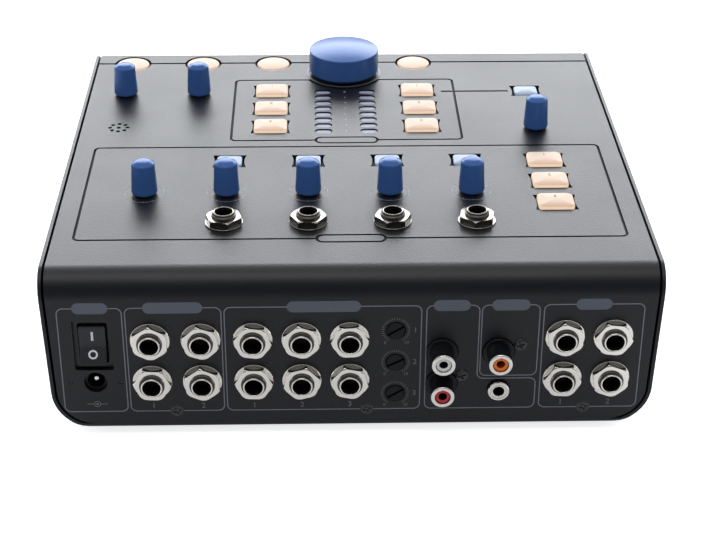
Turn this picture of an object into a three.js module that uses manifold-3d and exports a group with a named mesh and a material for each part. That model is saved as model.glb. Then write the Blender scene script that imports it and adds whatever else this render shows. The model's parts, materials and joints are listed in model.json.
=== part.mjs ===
// Desktop monitor controller: a bent sheet panel in a drafted tub, with knobs, keys and rear sockets.
// Millimetres, +Z up. The user sits on the -Y side and the socket panel faces +Y.
// The origin is at the middle of the outer box, on the surface that the feet stand on.
import * as THREE from 'three';
import { mergeVertices } from 'three/addons/utils/BufferGeometryUtils.js';
import Module from 'manifold-3d';

const wasm = await Module();
wasm.setup();

const degree = Math.PI / 180;
const quarterTurn = 90 * degree;
const fullTurn = 360 * degree;

// Overrun of every cut past the face that it opens
const overrun = 1;

// Case
const caseWidth = 216;
const caseDepth = 202;
const caseHeight = 62;
const sideDraft = 1.9 * degree;
const lowerCornerRadius = 15.5;
const rearBendRadius = 9.5;
const frontBendRadius = 8;
const heelRadius = 2;
const tubWall = 1.2;
const tubGap = 0.9;
const sheet = 1.6;
const seatGap = 0.1;
const looseGap = 0.3;

// Feet
const footHeight = 3;
const footRadius = 6.5;
const footInset = 22;
const footSideInset = 30;
const footPegRadius = 2;
const footPegLength = 2.4;

// Engraved lines on the top
const grooveWidth = 0.85;
const grooveDepth = 0.6;
const boxCornerRadius = 2;
const phonesBoxSideInset = 9.6;
const phonesBoxNear = 26.8;
const phonesBoxFar = 102.1;
const levelBoxMargin = 15.4;
const levelBoxNear = 108;
const levelBoxFar = 167.7;
const pillWidth = 24.4;
const pillHeight = 5.2;
const frontGrooveRow = 186.6;
const frontGrooveKnobGap = 12;
const linkStartGap = 10;
const linkEndGap = 7.4;

// Rows are distances from the rear face along the top, columns are distances from the middle
const edgeColumnInset = 16.8;
const frontKeyRow = 186.2;
const frontKnobRow = 154;
const mainKnobRow = 175.3;
const auxKnobRow = 118.7;
const phonesKnobRow = 62.8;
const phonesJackRow = 39.2;
const selectKeyRow = 89.4;
const auxSelectRow = 154.9;
const upperKeyRow = 155.9;
const keyRowPitch = 17.6;
const cueKeyRow = 88.5;
const micRow = 120.9;

// Small knobs with their shafts
const knobLift = 1.3;
const knobHeight = 11.3;
const knobCrown = 1.2;
const knobTopRadius = 4.3;
const knobWidestRadius = 4.9;
const knobFootRadius = 4.2;
const knobChamfer = 1.1;
const shaftRadius = 3;
const shaftClearance = 0.4;
const shaftDepth = 9;
const potRadius = 5.5;

// Main knob
const mainKnobRadius = 14.7;
const mainKnobFootRadius = 13.7;
const mainKnobLift = 1.2;
const mainKnobHeight = 10.3;
const mainKnobCrown = 1.2;
const mainKnobChamfer = 1.2;
const collarInnerRadius = 14.9;
const collarOuterRadius = 15.8;
const collarHeight = 0.3;
const collarTongue = 0.5;
const collarGrooveDepth = 0.7;
const collarNotchRadius = 16.6;

// Keys
const keyTravel = 0.8;
const keyCrown = 0.45;
const keyProud = 1.5;
const keyLip = 1;
const keyLipReach = 0.9;
const keyStem = 4;
const wideKeyWidth = 13.3;
const wideKeyDepth = 11.1;
const wideKeyCorner = 2.2;
const wideKeyEndGap = 1.25;
const wideKeySideGap = 0.45;
const smallKeyWidth = 9.6;
const smallKeyDepth = 8.4;
const smallKeyProud = 0.8;
const smallKeyCorner = 1.6;
const smallKeyEndGap = 1.7;
const smallKeySideGap = 1;
const openingPinch = 0.8;
const roundKeyRadius = 6.9;
const roundKeyProud = 0.5;
const roundKeyGap = 1;

// Level meter
const meterRows = 8;
const meterPitch = 5.51;
const meterFirstRow = 116.4;
const meterColumn = 9.1;
const slotWidth = 7;
const slotHeight = 4;
const lensClearance = 0.2;
const lensDrop = 0.6;
const lensPlate = 1;
const lensMargin = 3;

// Microphone holes
const micHoleRadius = 0.85;
const micRingRadius = 3.5;
const micRingHoles = 8;
const micCapsuleRadius = 4;
const micCapsuleHeight = 6;

// Main board
const boardDrop = 11;
const boardThickness = 1.6;
const boardRearEdge = 49.5;
const boardFrontEdge = 192;
const boardSideInset = 9;
const switchSize = 6;
const switchHeight = 3.5;

// Quarter-inch sockets
const socketBore = 3.3;
const socketBoreDepth = 20;
const socketRim = 4.7;
const socketRimRadius = 3.8;
const bushingRadius = 4.4;
const bushingChamfer = 0.6;
const bushingClearance = 0.3;
const washerRadius = 6.9;
const washerThickness = 0.5;
const nutAcrossFlats = 11.8;
const nutThickness = 2.4;
const nutTurn = 30 * degree;
const phonesHousing = 14;
const rearHousingGap = 1.5;
const rearHousingMargin = 8;
const housingDepth = 22;
const upperSocketHeight = 39.8;
const lowerSocketHeight = 22.7;

// Rear socket columns, from the switch to the last input: how far the two ends of the row stand from the
// case's sides, and how the room that the sockets don't need is shared out between their ten steps
const inletSideInset = 17.6;
const lastInputSideInset = 17;
const rearSpareShares = [4.65, 3.8, 4.3, 3.1, 3.1, 3.9, 4.4, 6.4, 9.4, 3.1];

// Rear trimmers
const trimTopHeight = 43;
const trimPitch = 13.05;
const trimRadius = 3.2;
const trimClearance = 0.3;
const trimProud = 0.4;
const trimDepth = 9;
const trimSlotWidth = 0.9;
const trimSlotDepth = 1;
const trimPotRadius = 5.2;

// Phono sockets
const phonoUpperHeight = 33.8;
const phonoPitch = 13.1;
const phonoReach = 9;
const phonoRadius = 4.15;
const phonoSleeve = 0.6;
const phonoInsetDepth = 0.8;
const phonoPinRadius = 1.6;
const phonoPinDepth = 12;
const phonoBossRadius = 5.6;
const phonoBossProud = 0.9;
const phonoBossClearance = 0.3;
const phonoHousingWidth = 13.4;
const phonoHousingMargin = 6.6;

// Small digital socket
const miniShift = 0.6;
const miniHeight = 18.1;
const miniRingRadius = 3.85;
const miniReach = 1.7;
const miniBore = 1.8;
const miniBoreDepth = 12;
const miniClearance = 0.3;
const miniHousingWidth = 9;

// Power inlet and switch
const inletHeight = 22.6;
const inletHoleRadius = 4.1;
const inletBore = 3.1;
const inletBoreDepth = 9;
const inletPinRadius = 1;
const inletPinSetback = 1;
const inletHousingWidth = 10;
const inletRivetSpread = 8.7;
const inletRivetRadius = 0.7;
const wellWidth = 13.5;
const wellHeight = 20.3;
const wellCentreHeight = 37.7;
const switchFrameMargin = 1.6;
const rockerWidth = 9.4;
const rockerLength = 15.8;
const rockerTilt = 8 * degree;
const rockerPivotDepth = 4;
const rockerFaceRise = 2.6;
const rockerBody = 4;
const rockerClearance = 0.4;
const rockerPocketDepth = 11;

// Rear screws
const screwHeight = 10.4;
const screwPowerShift = 0.7;
const screwInputShift = 0.25;
const screwPotGap = 0.2;
const screwHeadRadius = 2.7;
const screwHeadDepth = 1.3;
const screwHeadClearance = 0.3;
const screwShankRadius = 1.4;
const screwLength = 8;
const screwBossWidth = 9;
const screwBossRise = 3.2;

// Jack board
const jackBoardSideInset = 10;
const jackBoardBottom = 8;
const jackBoardTop = 54;

// Numbers of facets
const facets = { tiny: 8, hole: 12, bore: 16, knob: 16, key: 20, collar: 32, bend: 6, corner: 2, nut: 6 };

// Places that follow from the sizes above
const topHeight = footHeight + caseHeight;
const rearFace = (caseDepth + phonoReach) / 2 - phonoReach;
const frontFace = rearFace - caseDepth;
const underSheet = topHeight - sheet;
const behindPanel = rearFace - sheet;
const panelInset = tubWall + tubGap;
const boardTop = underSheet - boardDrop;
const jackBoardFront = behindPanel - seatGap - housingDepth - looseGap;
const fromRear = (row) => rearFace - row;
const columnPitch = (caseWidth / 2 - edgeColumnInset) / 3;
const phonesBoxWidth = caseWidth - 2 * phonesBoxSideInset;
const levelBoxWidth = 2 * (columnPitch + levelBoxMargin);
const linkStart = columnPitch + linkStartGap;
const linkEnd = 2.5 * columnPitch - linkEndGap;

// Each rear column is the one before it, less the width that the two neighbours need, less their share
const inletColumn = caseWidth / 2 - inletSideInset;
const lastInputColumn = lastInputSideInset - caseWidth / 2;
const rearSteps = [
  wellWidth / 2 + switchFrameMargin + washerRadius,
  2 * washerRadius,
  2 * washerRadius,
  2 * washerRadius,
  2 * washerRadius,
  washerRadius + trimPotRadius,
  trimPotRadius + phonoHousingWidth / 2,
  phonoHousingWidth,
  phonoHousingWidth / 2 + washerRadius,
  2 * washerRadius,
];
const totalOf = (values) => values.reduce((total, value) => total + value, 0);
const rearSpare = (inletColumn - lastInputColumn - totalOf(rearSteps)) / totalOf(rearSpareShares);
const [
  lineMainColumn,
  lineCueColumn,
  speakerFirstColumn,
  speakerSecondColumn,
  speakerThirdColumn,
  trimColumn,
  phonoAuxColumn,
  phonoDigitalColumn,
  inputFirstColumn,
  inputSecondColumn,
] = rearSteps.map((_, index) => inletColumn
  - totalOf(rearSteps.slice(0, index + 1))
  - rearSpare * totalOf(rearSpareShares.slice(0, index + 1)));
const rearHousingWidth = speakerFirstColumn - speakerSecondColumn - rearHousingGap;
const miniColumn = phonoDigitalColumn - miniShift;
const screwColumns = {
  power: (lineMainColumn + lineCueColumn) / 2 + screwPowerShift,
  middle: trimColumn + trimPotRadius + screwPotGap + screwBossWidth / 2,
  input: (inputFirstColumn + inputSecondColumn) / 2 + screwInputShift,
};

const black = [0x191a1e, 0.5, 0.0];
const nickel = [0xc8c4ba, 0.25, 1.0];
const finishes = {
  case: black,
  panel: [0x1c1d21, 0.38, 0.0],
  board: [0x1f5a33, 0.6, 0.0],
  knob: [0x2c5496, 0.35, 0.3],
  key: [0xf6d9c4, 0.45, 0.0],
  select: [0xd5e0f5, 0.45, 0.0],
  lens: [0x93a5c8, 0.3, 0.0],
  nickel,
  blackPart: [0x101114, 0.45, 0.0],
  rubber: [0x141414, 0.9, 0.0],
  screw: [0x15151a, 0.4, 0.6],
};

const part = new THREE.Group();

// A closed solid made from a three.js geometry
function solid(geometry) {
  geometry.deleteAttribute('normal');
  geometry.deleteAttribute('uv');
  const merged = mergeVertices(geometry);
  const vertProperties = new Float32Array(merged.attributes.position.array);
  const triVerts = new Uint32Array(merged.index.array);
  return new wasm.Manifold(new wasm.Mesh({ numProp: 3, vertProperties, triVerts }));
}

function geometryOf(body) {
  const mesh = body.getMesh();
  const geometry = new THREE.BufferGeometry();
  geometry.setAttribute('position', new THREE.BufferAttribute(mesh.vertProperties, mesh.numProp));
  geometry.setIndex(new THREE.BufferAttribute(mesh.triVerts, 1));
  geometry.computeVertexNormals();
  return geometry;
}

function addPiece(name, geometry, finish) {
  const [color, roughness, metalness] = finishes[finish];
  const mesh = new THREE.Mesh(geometry, new THREE.MeshStandardMaterial({ color, roughness, metalness }));
  mesh.name = name;
  part.add(mesh);
  return mesh;
}

function joined(bodies) {
  return bodies.reduce((whole, body) => whole.add(body));
}

function cutAll(body, cutters) {
  return cutters.reduce((rest, cutter) => rest.subtract(cutter), body);
}

function block(low, high) {
  const size = high.map((value, axis) => value - low[axis]);
  const geometry = new THREE.BoxGeometry(...size);
  geometry.translate(...low.map((value, axis) => value + size[axis] / 2));
  return solid(geometry);
}

// A flat shape carried along Z from one height to another
function prismUp(shape, from, to, curveSegments = facets.corner) {
  const geometry = new THREE.ExtrudeGeometry(shape, { depth: to - from, bevelEnabled: false, curveSegments });
  geometry.translate(0, 0, from);
  return solid(geometry);
}

// A shape drawn in X and Z, carried along Y
function prismBack(shape, from, to) {
  const options = { depth: to - from, bevelEnabled: false, curveSegments: facets.bend };
  const geometry = new THREE.ExtrudeGeometry(shape, options);
  const basis = new THREE.Matrix4().makeBasis(
    new THREE.Vector3(1, 0, 0),
    new THREE.Vector3(0, 0, 1),
    new THREE.Vector3(0, -1, 0),
  );
  geometry.applyMatrix4(basis);
  geometry.translate(0, to, 0);
  return solid(geometry);
}

// A shape drawn in Y and Z, carried along X on both sides of the middle
function prismAcross(shape, halfWidth) {
  const options = { depth: 2 * halfWidth, bevelEnabled: false, curveSegments: facets.bend };
  const geometry = new THREE.ExtrudeGeometry(shape, options);
  const basis = new THREE.Matrix4().makeBasis(
    new THREE.Vector3(0, 1, 0),
    new THREE.Vector3(0, 0, 1),
    new THREE.Vector3(1, 0, 0),
  );
  geometry.translate(0, 0, -halfWidth);
  geometry.applyMatrix4(basis);
  return solid(geometry);
}

// A round bar or cone frustum standing on Z
function bar(x, y, low, high, radius, segments, topRadius = radius) {
  const geometry = new THREE.CylinderGeometry(topRadius, radius, high - low, segments);
  geometry.rotateX(quarterTurn);
  geometry.translate(x, y, (low + high) / 2);
  return solid(geometry);
}

// A round bar or cone frustum lying along Y
function barBack(x, z, near, far, radius, segments, farRadius = radius) {
  const geometry = new THREE.CylinderGeometry(farRadius, radius, far - near, segments);
  geometry.translate(x, (near + far) / 2, z);
  return solid(geometry);
}

// A turned solid from radius and height pairs that start and end on the axis
function turned(profile, segments) {
  const points = profile.map(([radius, height]) => new THREE.Vector2(radius, height));
  const geometry = new THREE.LatheGeometry(points, segments);
  geometry.rotateX(quarterTurn);
  return solid(geometry);
}

function roundedRect(width, height, radius, centreX = 0, centreY = 0) {
  const left = centreX - width / 2;
  const right = centreX + width / 2;
  const bottom = centreY - height / 2;
  const top = centreY + height / 2;
  const shape = new THREE.Shape();
  shape.moveTo(left + radius, bottom);
  shape.lineTo(right - radius, bottom);
  shape.absarc(right - radius, bottom + radius, radius, -quarterTurn, 0, false);
  shape.lineTo(right, top - radius);
  shape.absarc(right - radius, top - radius, radius, 0, quarterTurn, false);
  shape.lineTo(left + radius, top);
  shape.absarc(left + radius, top - radius, radius, quarterTurn, 2 * quarterTurn, false);
  shape.lineTo(left, bottom + radius);
  shape.absarc(left + radius, bottom + radius, radius, 2 * quarterTurn, 3 * quarterTurn, false);
  return shape;
}

// Rear view of the tub: sides that draft inwards on the way down, into round lower corners
function tubOutline(inset, rise = 0) {
  const bottom = footHeight + inset;
  const top = topHeight + rise;
  const sideAt = (z) => caseWidth / 2 - inset - (topHeight - z) * Math.tan(sideDraft);
  const radius = lowerCornerRadius - inset;
  const centreZ = bottom + radius;
  const centreX = sideAt(centreZ) - radius / Math.cos(sideDraft);
  const shape = new THREE.Shape();
  shape.moveTo(-sideAt(top), top);
  shape.lineTo(sideAt(top), top);
  shape.absarc(centreX, centreZ, radius, -sideDraft, -quarterTurn, true);
  shape.absarc(-centreX, centreZ, radius, -quarterTurn, -2 * quarterTurn + sideDraft, true);
  return shape;
}

// Side view of the case in Y and Z, drawn in by an inset, with its base moved down by a drop
function sideOutline(inset, drop = 0) {
  const rear = rearFace - inset;
  const front = frontFace + inset;
  const top = topHeight - inset;
  const bottom = footHeight - drop;
  const rearRadius = rearBendRadius - inset;
  const frontRadius = frontBendRadius - inset;
  const shape = new THREE.Shape();
  shape.moveTo(front + heelRadius, bottom);
  shape.lineTo(rear - heelRadius, bottom);
  shape.absarc(rear - heelRadius, bottom + heelRadius, heelRadius, -quarterTurn, 0, false);
  shape.absarc(rear - rearRadius, top - rearRadius, rearRadius, 0, quarterTurn, false);
  shape.absarc(front + frontRadius, top - frontRadius, frontRadius, quarterTurn, 2 * quarterTurn, false);
  shape.absarc(front + heelRadius, bottom + heelRadius, heelRadius, 2 * quarterTurn, 3 * quarterTurn, false);
  return shape;
}

function footPlaces() {
  const x = caseWidth / 2 - footSideInset;
  return [
    [-x, frontFace + footInset],
    [x, frontFace + footInset],
    [-x, rearFace - footInset],
    [x, rearFace - footInset],
  ];
}

function buildTub() {
  const sides = prismAcross(sideOutline(0), caseWidth);
  const outer = prismBack(tubOutline(0), frontFace, rearFace).intersect(sides);
  const hollow = prismBack(tubOutline(tubWall, overrun), frontFace - overrun, rearFace + overrun);
  const bossFar = behindPanel - looseGap;
  const bosses = Object.values(screwColumns).map((x) => block(
    [x - screwBossWidth / 2, bossFar - screwLength, footHeight + tubWall / 2],
    [x + screwBossWidth / 2, bossFar, screwHeight + screwBossRise],
  ));
  const screwHoles = Object.values(screwColumns).map((x) => barBack(
    x, screwHeight, bossFar - screwLength - overrun, bossFar + overrun,
    screwShankRadius + looseGap, facets.hole,
  ));
  const pegHoles = footPlaces().map(([x, y]) => bar(
    x, y, footHeight - overrun, footHeight + tubWall + overrun, footPegRadius + looseGap, facets.hole,
  ));
  addPiece('bottom_shell', geometryOf(cutAll(joined([outer.subtract(hollow), ...bosses]), [
    ...screwHoles,
    ...pegHoles,
  ])), 'case');
}

function buildFeet() {
  const foot = turned([
    [0, 0],
    [footRadius - heelRadius / 2, 0],
    [footRadius, heelRadius / 2],
    [footRadius, footHeight],
    [footPegRadius, footHeight],
    [footPegRadius, footHeight + footPegLength],
    [0, footHeight + footPegLength],
  ], facets.hole);
  footPlaces().forEach(([x, y], index) => {
    addPiece(`foot_${index + 1}`, geometryOf(foot), 'rubber').position.set(x, y, 0);
  });
}

// The space between two outlines, cut shallowly into the top face
function groove(outer, inner) {
  const low = topHeight - grooveDepth;
  const core = prismUp(inner, low - overrun, topHeight + 2 * overrun);
  return prismUp(outer, low, topHeight + overrun).subtract(core);
}

function boxGroove(width, near, far) {
  const centre = fromRear((near + far) / 2);
  const depth = far - near;
  const half = grooveWidth / 2;
  return [
    roundedRect(width + grooveWidth, depth + grooveWidth, boxCornerRadius + half, 0, centre),
    roundedRect(width - grooveWidth, depth - grooveWidth, boxCornerRadius - half, 0, centre),
  ];
}

function pillShapes(row) {
  const outerHeight = pillHeight + grooveWidth;
  const innerHeight = pillHeight - grooveWidth;
  return [
    roundedRect(pillWidth + grooveWidth, outerHeight, outerHeight / 2, 0, fromRear(row)),
    roundedRect(pillWidth - grooveWidth, innerHeight, innerHeight / 2, 0, fromRear(row)),
  ];
}

function grooveStrip(x1, x2, row) {
  const half = grooveWidth / 2;
  return block(
    [Math.min(x1, x2), fromRear(row) - half, topHeight - grooveDepth],
    [Math.max(x1, x2), fromRear(row) + half, topHeight + overrun],
  );
}

function topHole(x, row, radius, segments) {
  return bar(x, fromRear(row), underSheet - overrun, topHeight + overrun, radius, segments);
}

function rearHole(x, z, radius, segments) {
  return barBack(x, z, behindPanel - overrun, rearFace + overrun, radius, segments);
}

// A key opening whose two short ends curve in towards the key
function keyOpening(x, row, width, depth) {
  const y = fromRear(row);
  const shape = new THREE.Shape();
  shape.moveTo(x - width / 2, y - depth / 2);
  shape.lineTo(x + width / 2, y - depth / 2);
  shape.quadraticCurveTo(x + width / 2 - 2 * openingPinch, y, x + width / 2, y + depth / 2);
  shape.lineTo(x - width / 2, y + depth / 2);
  shape.quadraticCurveTo(x - width / 2 + 2 * openingPinch, y, x - width / 2, y - depth / 2);
  return prismUp(shape, underSheet - overrun, topHeight + overrun);
}

// Places of the controls on the top: x, row and name
const roundKeys = [
  ['front_key_1', 3 * columnPitch, frontKeyRow],
  ['front_key_2', 2 * columnPitch, frontKeyRow],
  ['front_key_3', columnPitch, frontKeyRow],
  ['front_key_4', -columnPitch, frontKeyRow],
];
const keyRows = [0, 1, 2].map((step) => upperKeyRow - step * keyRowPitch);
const cueKeyRows = [0, 1, 2].map((step) => cueKeyRow - step * keyRowPitch);
const wideKeys = [
  ...keyRows.map((row, index) => [`speaker_key_${index + 1}`, columnPitch, row]),
  ...keyRows.map((row, index) => [`source_key_${index + 1}`, -columnPitch, row]),
  ...cueKeyRows.map((row, index) => [`cue_source_key_${index + 1}`, -2.5 * columnPitch, row]),
];
const phonesColumnShares = [1.5, 0.5, -0.5, -1.5];
const phonesColumns = phonesColumnShares.map((share) => share * columnPitch);
const smallKeys = [
  ...phonesColumns.map((x, index) => [`phones_select_key_${index + 1}`, x, selectKeyRow]),
  ['aux_select_key', -2.5 * columnPitch, auxSelectRow],
];
const smallKnobs = [
  ['cue_knob', 2.5 * columnPitch, phonesKnobRow],
  ...phonesColumns.map((x, index) => [`phones_knob_${index + 1}`, x, phonesKnobRow]),
  ['talkback_knob', 3 * columnPitch, frontKnobRow],
  ['dim_knob', 2 * columnPitch, frontKnobRow],
  ['aux_knob', -2.5 * columnPitch, auxKnobRow],
];
const meterSlots = [meterColumn, -meterColumn].flatMap((x) => (
  Array.from({ length: meterRows }, (_, step) => [x, meterFirstRow + step * meterPitch])
));
const micHoles = Array.from({ length: micRingHoles }, (_, step) => {
  const angle = (step / micRingHoles) * fullTurn;
  return [
    3 * columnPitch + micRingRadius * Math.cos(angle),
    micRow + micRingRadius * Math.sin(angle),
  ];
}).concat([[3 * columnPitch, micRow]]);

// Places of the sockets on the rear: name and x
const rearPairs = [
  ['line_jacks_main', lineMainColumn],
  ['line_jacks_cue', lineCueColumn],
  ['speaker_jacks_1', speakerFirstColumn],
  ['speaker_jacks_2', speakerSecondColumn],
  ['speaker_jacks_3', speakerThirdColumn],
  ['input_jacks_1', inputFirstColumn],
  ['input_jacks_2', inputSecondColumn],
];
const trimHeights = [0, 1, 2].map((step) => trimTopHeight - step * trimPitch);
const auxPhonoHeights = [phonoUpperHeight, phonoUpperHeight - phonoPitch];

function topGrooves() {
  const knobY = fromRear(mainKnobRow);
  const disc = (radius) => bar(
    0, knobY, topHeight - 2 * overrun, topHeight + 2 * overrun, radius, facets.collar,
  );
  const half = grooveWidth / 2;
  const deep = (shape) => prismUp(shape, topHeight - grooveDepth, topHeight + overrun);
  const core = (shape) => prismUp(shape, topHeight - 2 * overrun, topHeight + 3 * overrun);
  const [phonesOuter, phonesInner] = boxGroove(phonesBoxWidth, phonesBoxNear, phonesBoxFar);
  const [levelOuter, levelInner] = boxGroove(levelBoxWidth, levelBoxNear, levelBoxFar);
  const [phonesPillOuter, phonesPillInner] = pillShapes(phonesBoxNear);
  const [levelPillOuter, levelPillInner] = pillShapes(levelBoxNear);
  const levelCore = core(levelInner).subtract(disc(collarNotchRadius + half));
  const level = deep(levelOuter).subtract(disc(collarNotchRadius - half)).subtract(levelCore);
  const keyDiscs = roundKeys.map(([, x, row]) => topHole(x, row, roundKeyRadius, facets.key));
  const frontLine = [
    cutAll(grooveStrip(frontGrooveKnobGap, caseWidth, frontGrooveRow), keyDiscs),
    cutAll(grooveStrip(-caseWidth, -frontGrooveKnobGap, frontGrooveRow), keyDiscs),
  ];
  return [
    deep(phonesOuter).subtract(core(phonesInner)).subtract(core(phonesPillInner)),
    groove(phonesPillOuter, phonesPillInner),
    level.subtract(core(levelPillInner)),
    groove(levelPillOuter, levelPillInner),
    ...frontLine,
    grooveStrip(-linkStart, -linkEnd, auxSelectRow),
  ];
}

function topOpenings() {
  const wideOpening = [wideKeyWidth + 2 * wideKeyEndGap, wideKeyDepth + 2 * wideKeySideGap];
  const smallOpening = [smallKeyWidth + 2 * smallKeyEndGap, smallKeyDepth + 2 * smallKeySideGap];
  const collarSlot = bar(
    0, fromRear(mainKnobRow), topHeight - collarGrooveDepth, topHeight + overrun,
    collarOuterRadius, facets.collar,
  ).subtract(bar(
    0, fromRear(mainKnobRow), topHeight - 2 * overrun, topHeight + 2 * overrun,
    collarInnerRadius - seatGap, facets.collar,
  ));
  return [
    ...roundKeys.map(([, x, row]) => topHole(x, row, roundKeyRadius + roundKeyGap, facets.key)),
    ...wideKeys.map(([, x, row]) => keyOpening(x, row, ...wideOpening)),
    ...smallKeys.map(([, x, row]) => keyOpening(x, row, ...smallOpening)),
    ...smallKnobs.map(([, x, row]) => topHole(x, row, shaftRadius + shaftClearance, facets.hole)),
    topHole(0, mainKnobRow, shaftRadius + shaftClearance, facets.hole),
    collarSlot,
    ...phonesColumns.map((x) => topHole(x, phonesJackRow, bushingRadius + bushingClearance, facets.hole)),
    ...meterSlots.map(([x, row]) => block(
      [x - slotWidth / 2, fromRear(row) - slotHeight / 2, underSheet - overrun],
      [x + slotWidth / 2, fromRear(row) + slotHeight / 2, topHeight + overrun],
    )),
    ...micHoles.map(([x, row]) => topHole(x, row, micHoleRadius, facets.tiny)),
  ];
}

function rearOpenings() {
  const socketHole = (x, z) => rearHole(x, z, bushingRadius + bushingClearance, facets.hole);
  const phonoHole = (x, z) => rearHole(x, z, phonoBossRadius + phonoBossClearance, facets.bore);
  const sink = (x) => barBack(
    x, screwHeight, rearFace - screwHeadDepth - screwHeadClearance, rearFace + screwHeadClearance,
    screwShankRadius + screwHeadClearance, facets.bore, screwHeadRadius + 2 * screwHeadClearance,
  );
  return [
    ...rearPairs.map(([, x]) => socketHole(x, upperSocketHeight)),
    ...rearPairs.map(([, x]) => socketHole(x, lowerSocketHeight)),
    ...trimHeights.map((z) => rearHole(trimColumn, z, trimRadius + trimClearance, facets.bore)),
    ...auxPhonoHeights.map((z) => phonoHole(phonoAuxColumn, z)),
    phonoHole(phonoDigitalColumn, phonoUpperHeight),
    rearHole(miniColumn, miniHeight, miniRingRadius + miniClearance, facets.bore),
    rearHole(inletColumn, inletHeight, inletHoleRadius, facets.bore),
    rearHole(inletColumn - inletRivetSpread, inletHeight, inletRivetRadius, facets.tiny),
    rearHole(inletColumn + inletRivetSpread, inletHeight, inletRivetRadius, facets.tiny),
    block(
      [inletColumn - wellWidth / 2, behindPanel - overrun, wellCentreHeight - wellHeight / 2],
      [inletColumn + wellWidth / 2, rearFace + overrun, wellCentreHeight + wellHeight / 2],
    ),
    ...Object.values(screwColumns).map((x) => rearHole(
      x, screwHeight, screwShankRadius + screwHeadClearance, facets.bore,
    )),
    ...Object.values(screwColumns).map(sink),
  ];
}

// One sheet bent down at the front and at the rear, inside the tub
function buildPanel() {
  const bend = prismAcross(sideOutline(0, overrun), caseWidth).subtract(
    prismAcross(sideOutline(sheet, caseHeight), caseWidth + overrun),
  );
  const inTub = prismBack(tubOutline(panelInset, overrun), frontFace - overrun, rearFace + overrun);
  const sheetBody = bend.intersect(inTub);
  const cutters = [...topOpenings(), ...topGrooves(), ...rearOpenings()];
  addPiece('top_panel', geometryOf(cutAll(sheetBody, cutters)), 'panel');
}

function buildMainBoard() {
  const half = caseWidth / 2 - boardSideInset;
  const board = block(
    [-half, fromRear(boardFrontEdge), boardTop - boardThickness],
    [half, fromRear(boardRearEdge), boardTop],
  );
  const potTop = underSheet - looseGap;
  const boreLow = topHeight - sheet - shaftDepth - looseGap;
  const knobs = [...smallKnobs, ['main_knob', 0, mainKnobRow]];
  const pots = knobs.map(([, x, row]) => bar(
    x, fromRear(row), boardTop - boardThickness / 2, potTop, potRadius, facets.hole,
  ));
  const bores = knobs.map(([, x, row]) => bar(
    x, fromRear(row), boreLow, potTop + overrun, shaftRadius + looseGap, facets.hole,
  ));
  const switches = [...roundKeys, ...wideKeys, ...smallKeys].map(([, x, row]) => block(
    [x - switchSize / 2, fromRear(row) - switchSize / 2, boardTop - boardThickness / 2],
    [x + switchSize / 2, fromRear(row) + switchSize / 2, boardTop + switchHeight],
  ));
  const capsule = bar(
    3 * columnPitch, fromRear(micRow), boardTop - boardThickness / 2, boardTop + micCapsuleHeight,
    micCapsuleRadius, facets.hole,
  );
  addPiece('main_board', geometryOf(cutAll(joined([board, ...pots, ...switches, capsule]), bores)), 'board');
}

function buildSmallKnobs() {
  const top = knobLift + knobHeight;
  const knob = geometryOf(turned([
    [0, -sheet - shaftDepth],
    [shaftRadius, -sheet - shaftDepth],
    [shaftRadius, knobLift],
    [knobFootRadius, knobLift],
    [knobWidestRadius, knobLift + knobChamfer],
    [knobTopRadius, top],
    [knobTopRadius * Math.SQRT1_2, top + knobCrown * Math.SQRT1_2],
    [0, top + knobCrown],
  ], facets.knob));
  smallKnobs.forEach(([name, x, row]) => {
    addPiece(name, knob, 'knob').position.set(x, fromRear(row), topHeight);
  });
}

function buildMainKnob() {
  const top = mainKnobLift + mainKnobHeight;
  const knob = turned([
    [0, -sheet - shaftDepth],
    [shaftRadius, -sheet - shaftDepth],
    [shaftRadius, mainKnobLift],
    [mainKnobFootRadius, mainKnobLift],
    [mainKnobRadius, mainKnobLift + mainKnobChamfer],
    [mainKnobRadius, top],
    [mainKnobRadius / 2, top + 3 * mainKnobCrown / 4],
    [0, top + mainKnobCrown],
  ], facets.collar);
  addPiece('main_knob', geometryOf(knob), 'knob').position.set(0, fromRear(mainKnobRow), topHeight);
  const inner = collarInnerRadius;
  const outer = collarOuterRadius - seatGap;
  const ring = bar(0, 0, -collarTongue, collarHeight, outer, facets.collar).subtract(
    bar(0, 0, -collarTongue - overrun, collarHeight + overrun, inner, facets.collar),
  );
  addPiece('knob_collar', geometryOf(ring), 'blackPart').position.set(0, fromRear(mainKnobRow), topHeight);
}

// A key in its own frame: cap through the panel, lip below the sheet, stem over its switch
function keyBody(cap, lip, proud, segments = facets.corner) {
  const crown = keyCrown;
  const lipTop = -sheet - looseGap;
  const stemLow = boardTop + switchHeight + keyTravel + looseGap - topHeight;
  const capGeometry = new THREE.ExtrudeGeometry(cap, {
    depth: proud - 2 * crown - lipTop + keyLip / 2,
    bevelThickness: crown,
    bevelSize: crown,
    bevelOffset: -crown,
    bevelSegments: 1,
    curveSegments: segments,
  });
  capGeometry.translate(0, 0, lipTop - keyLip / 2 + crown);
  return joined([
    solid(capGeometry),
    prismUp(lip, lipTop - keyLip, lipTop, segments),
    block([-keyStem / 2, -keyStem / 2, stemLow], [keyStem / 2, keyStem / 2, lipTop - keyLip / 2]),
  ]);
}

function discShape(radius) {
  const shape = new THREE.Shape();
  shape.absarc(0, 0, radius, 0, fullTurn, false);
  return shape;
}

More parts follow.
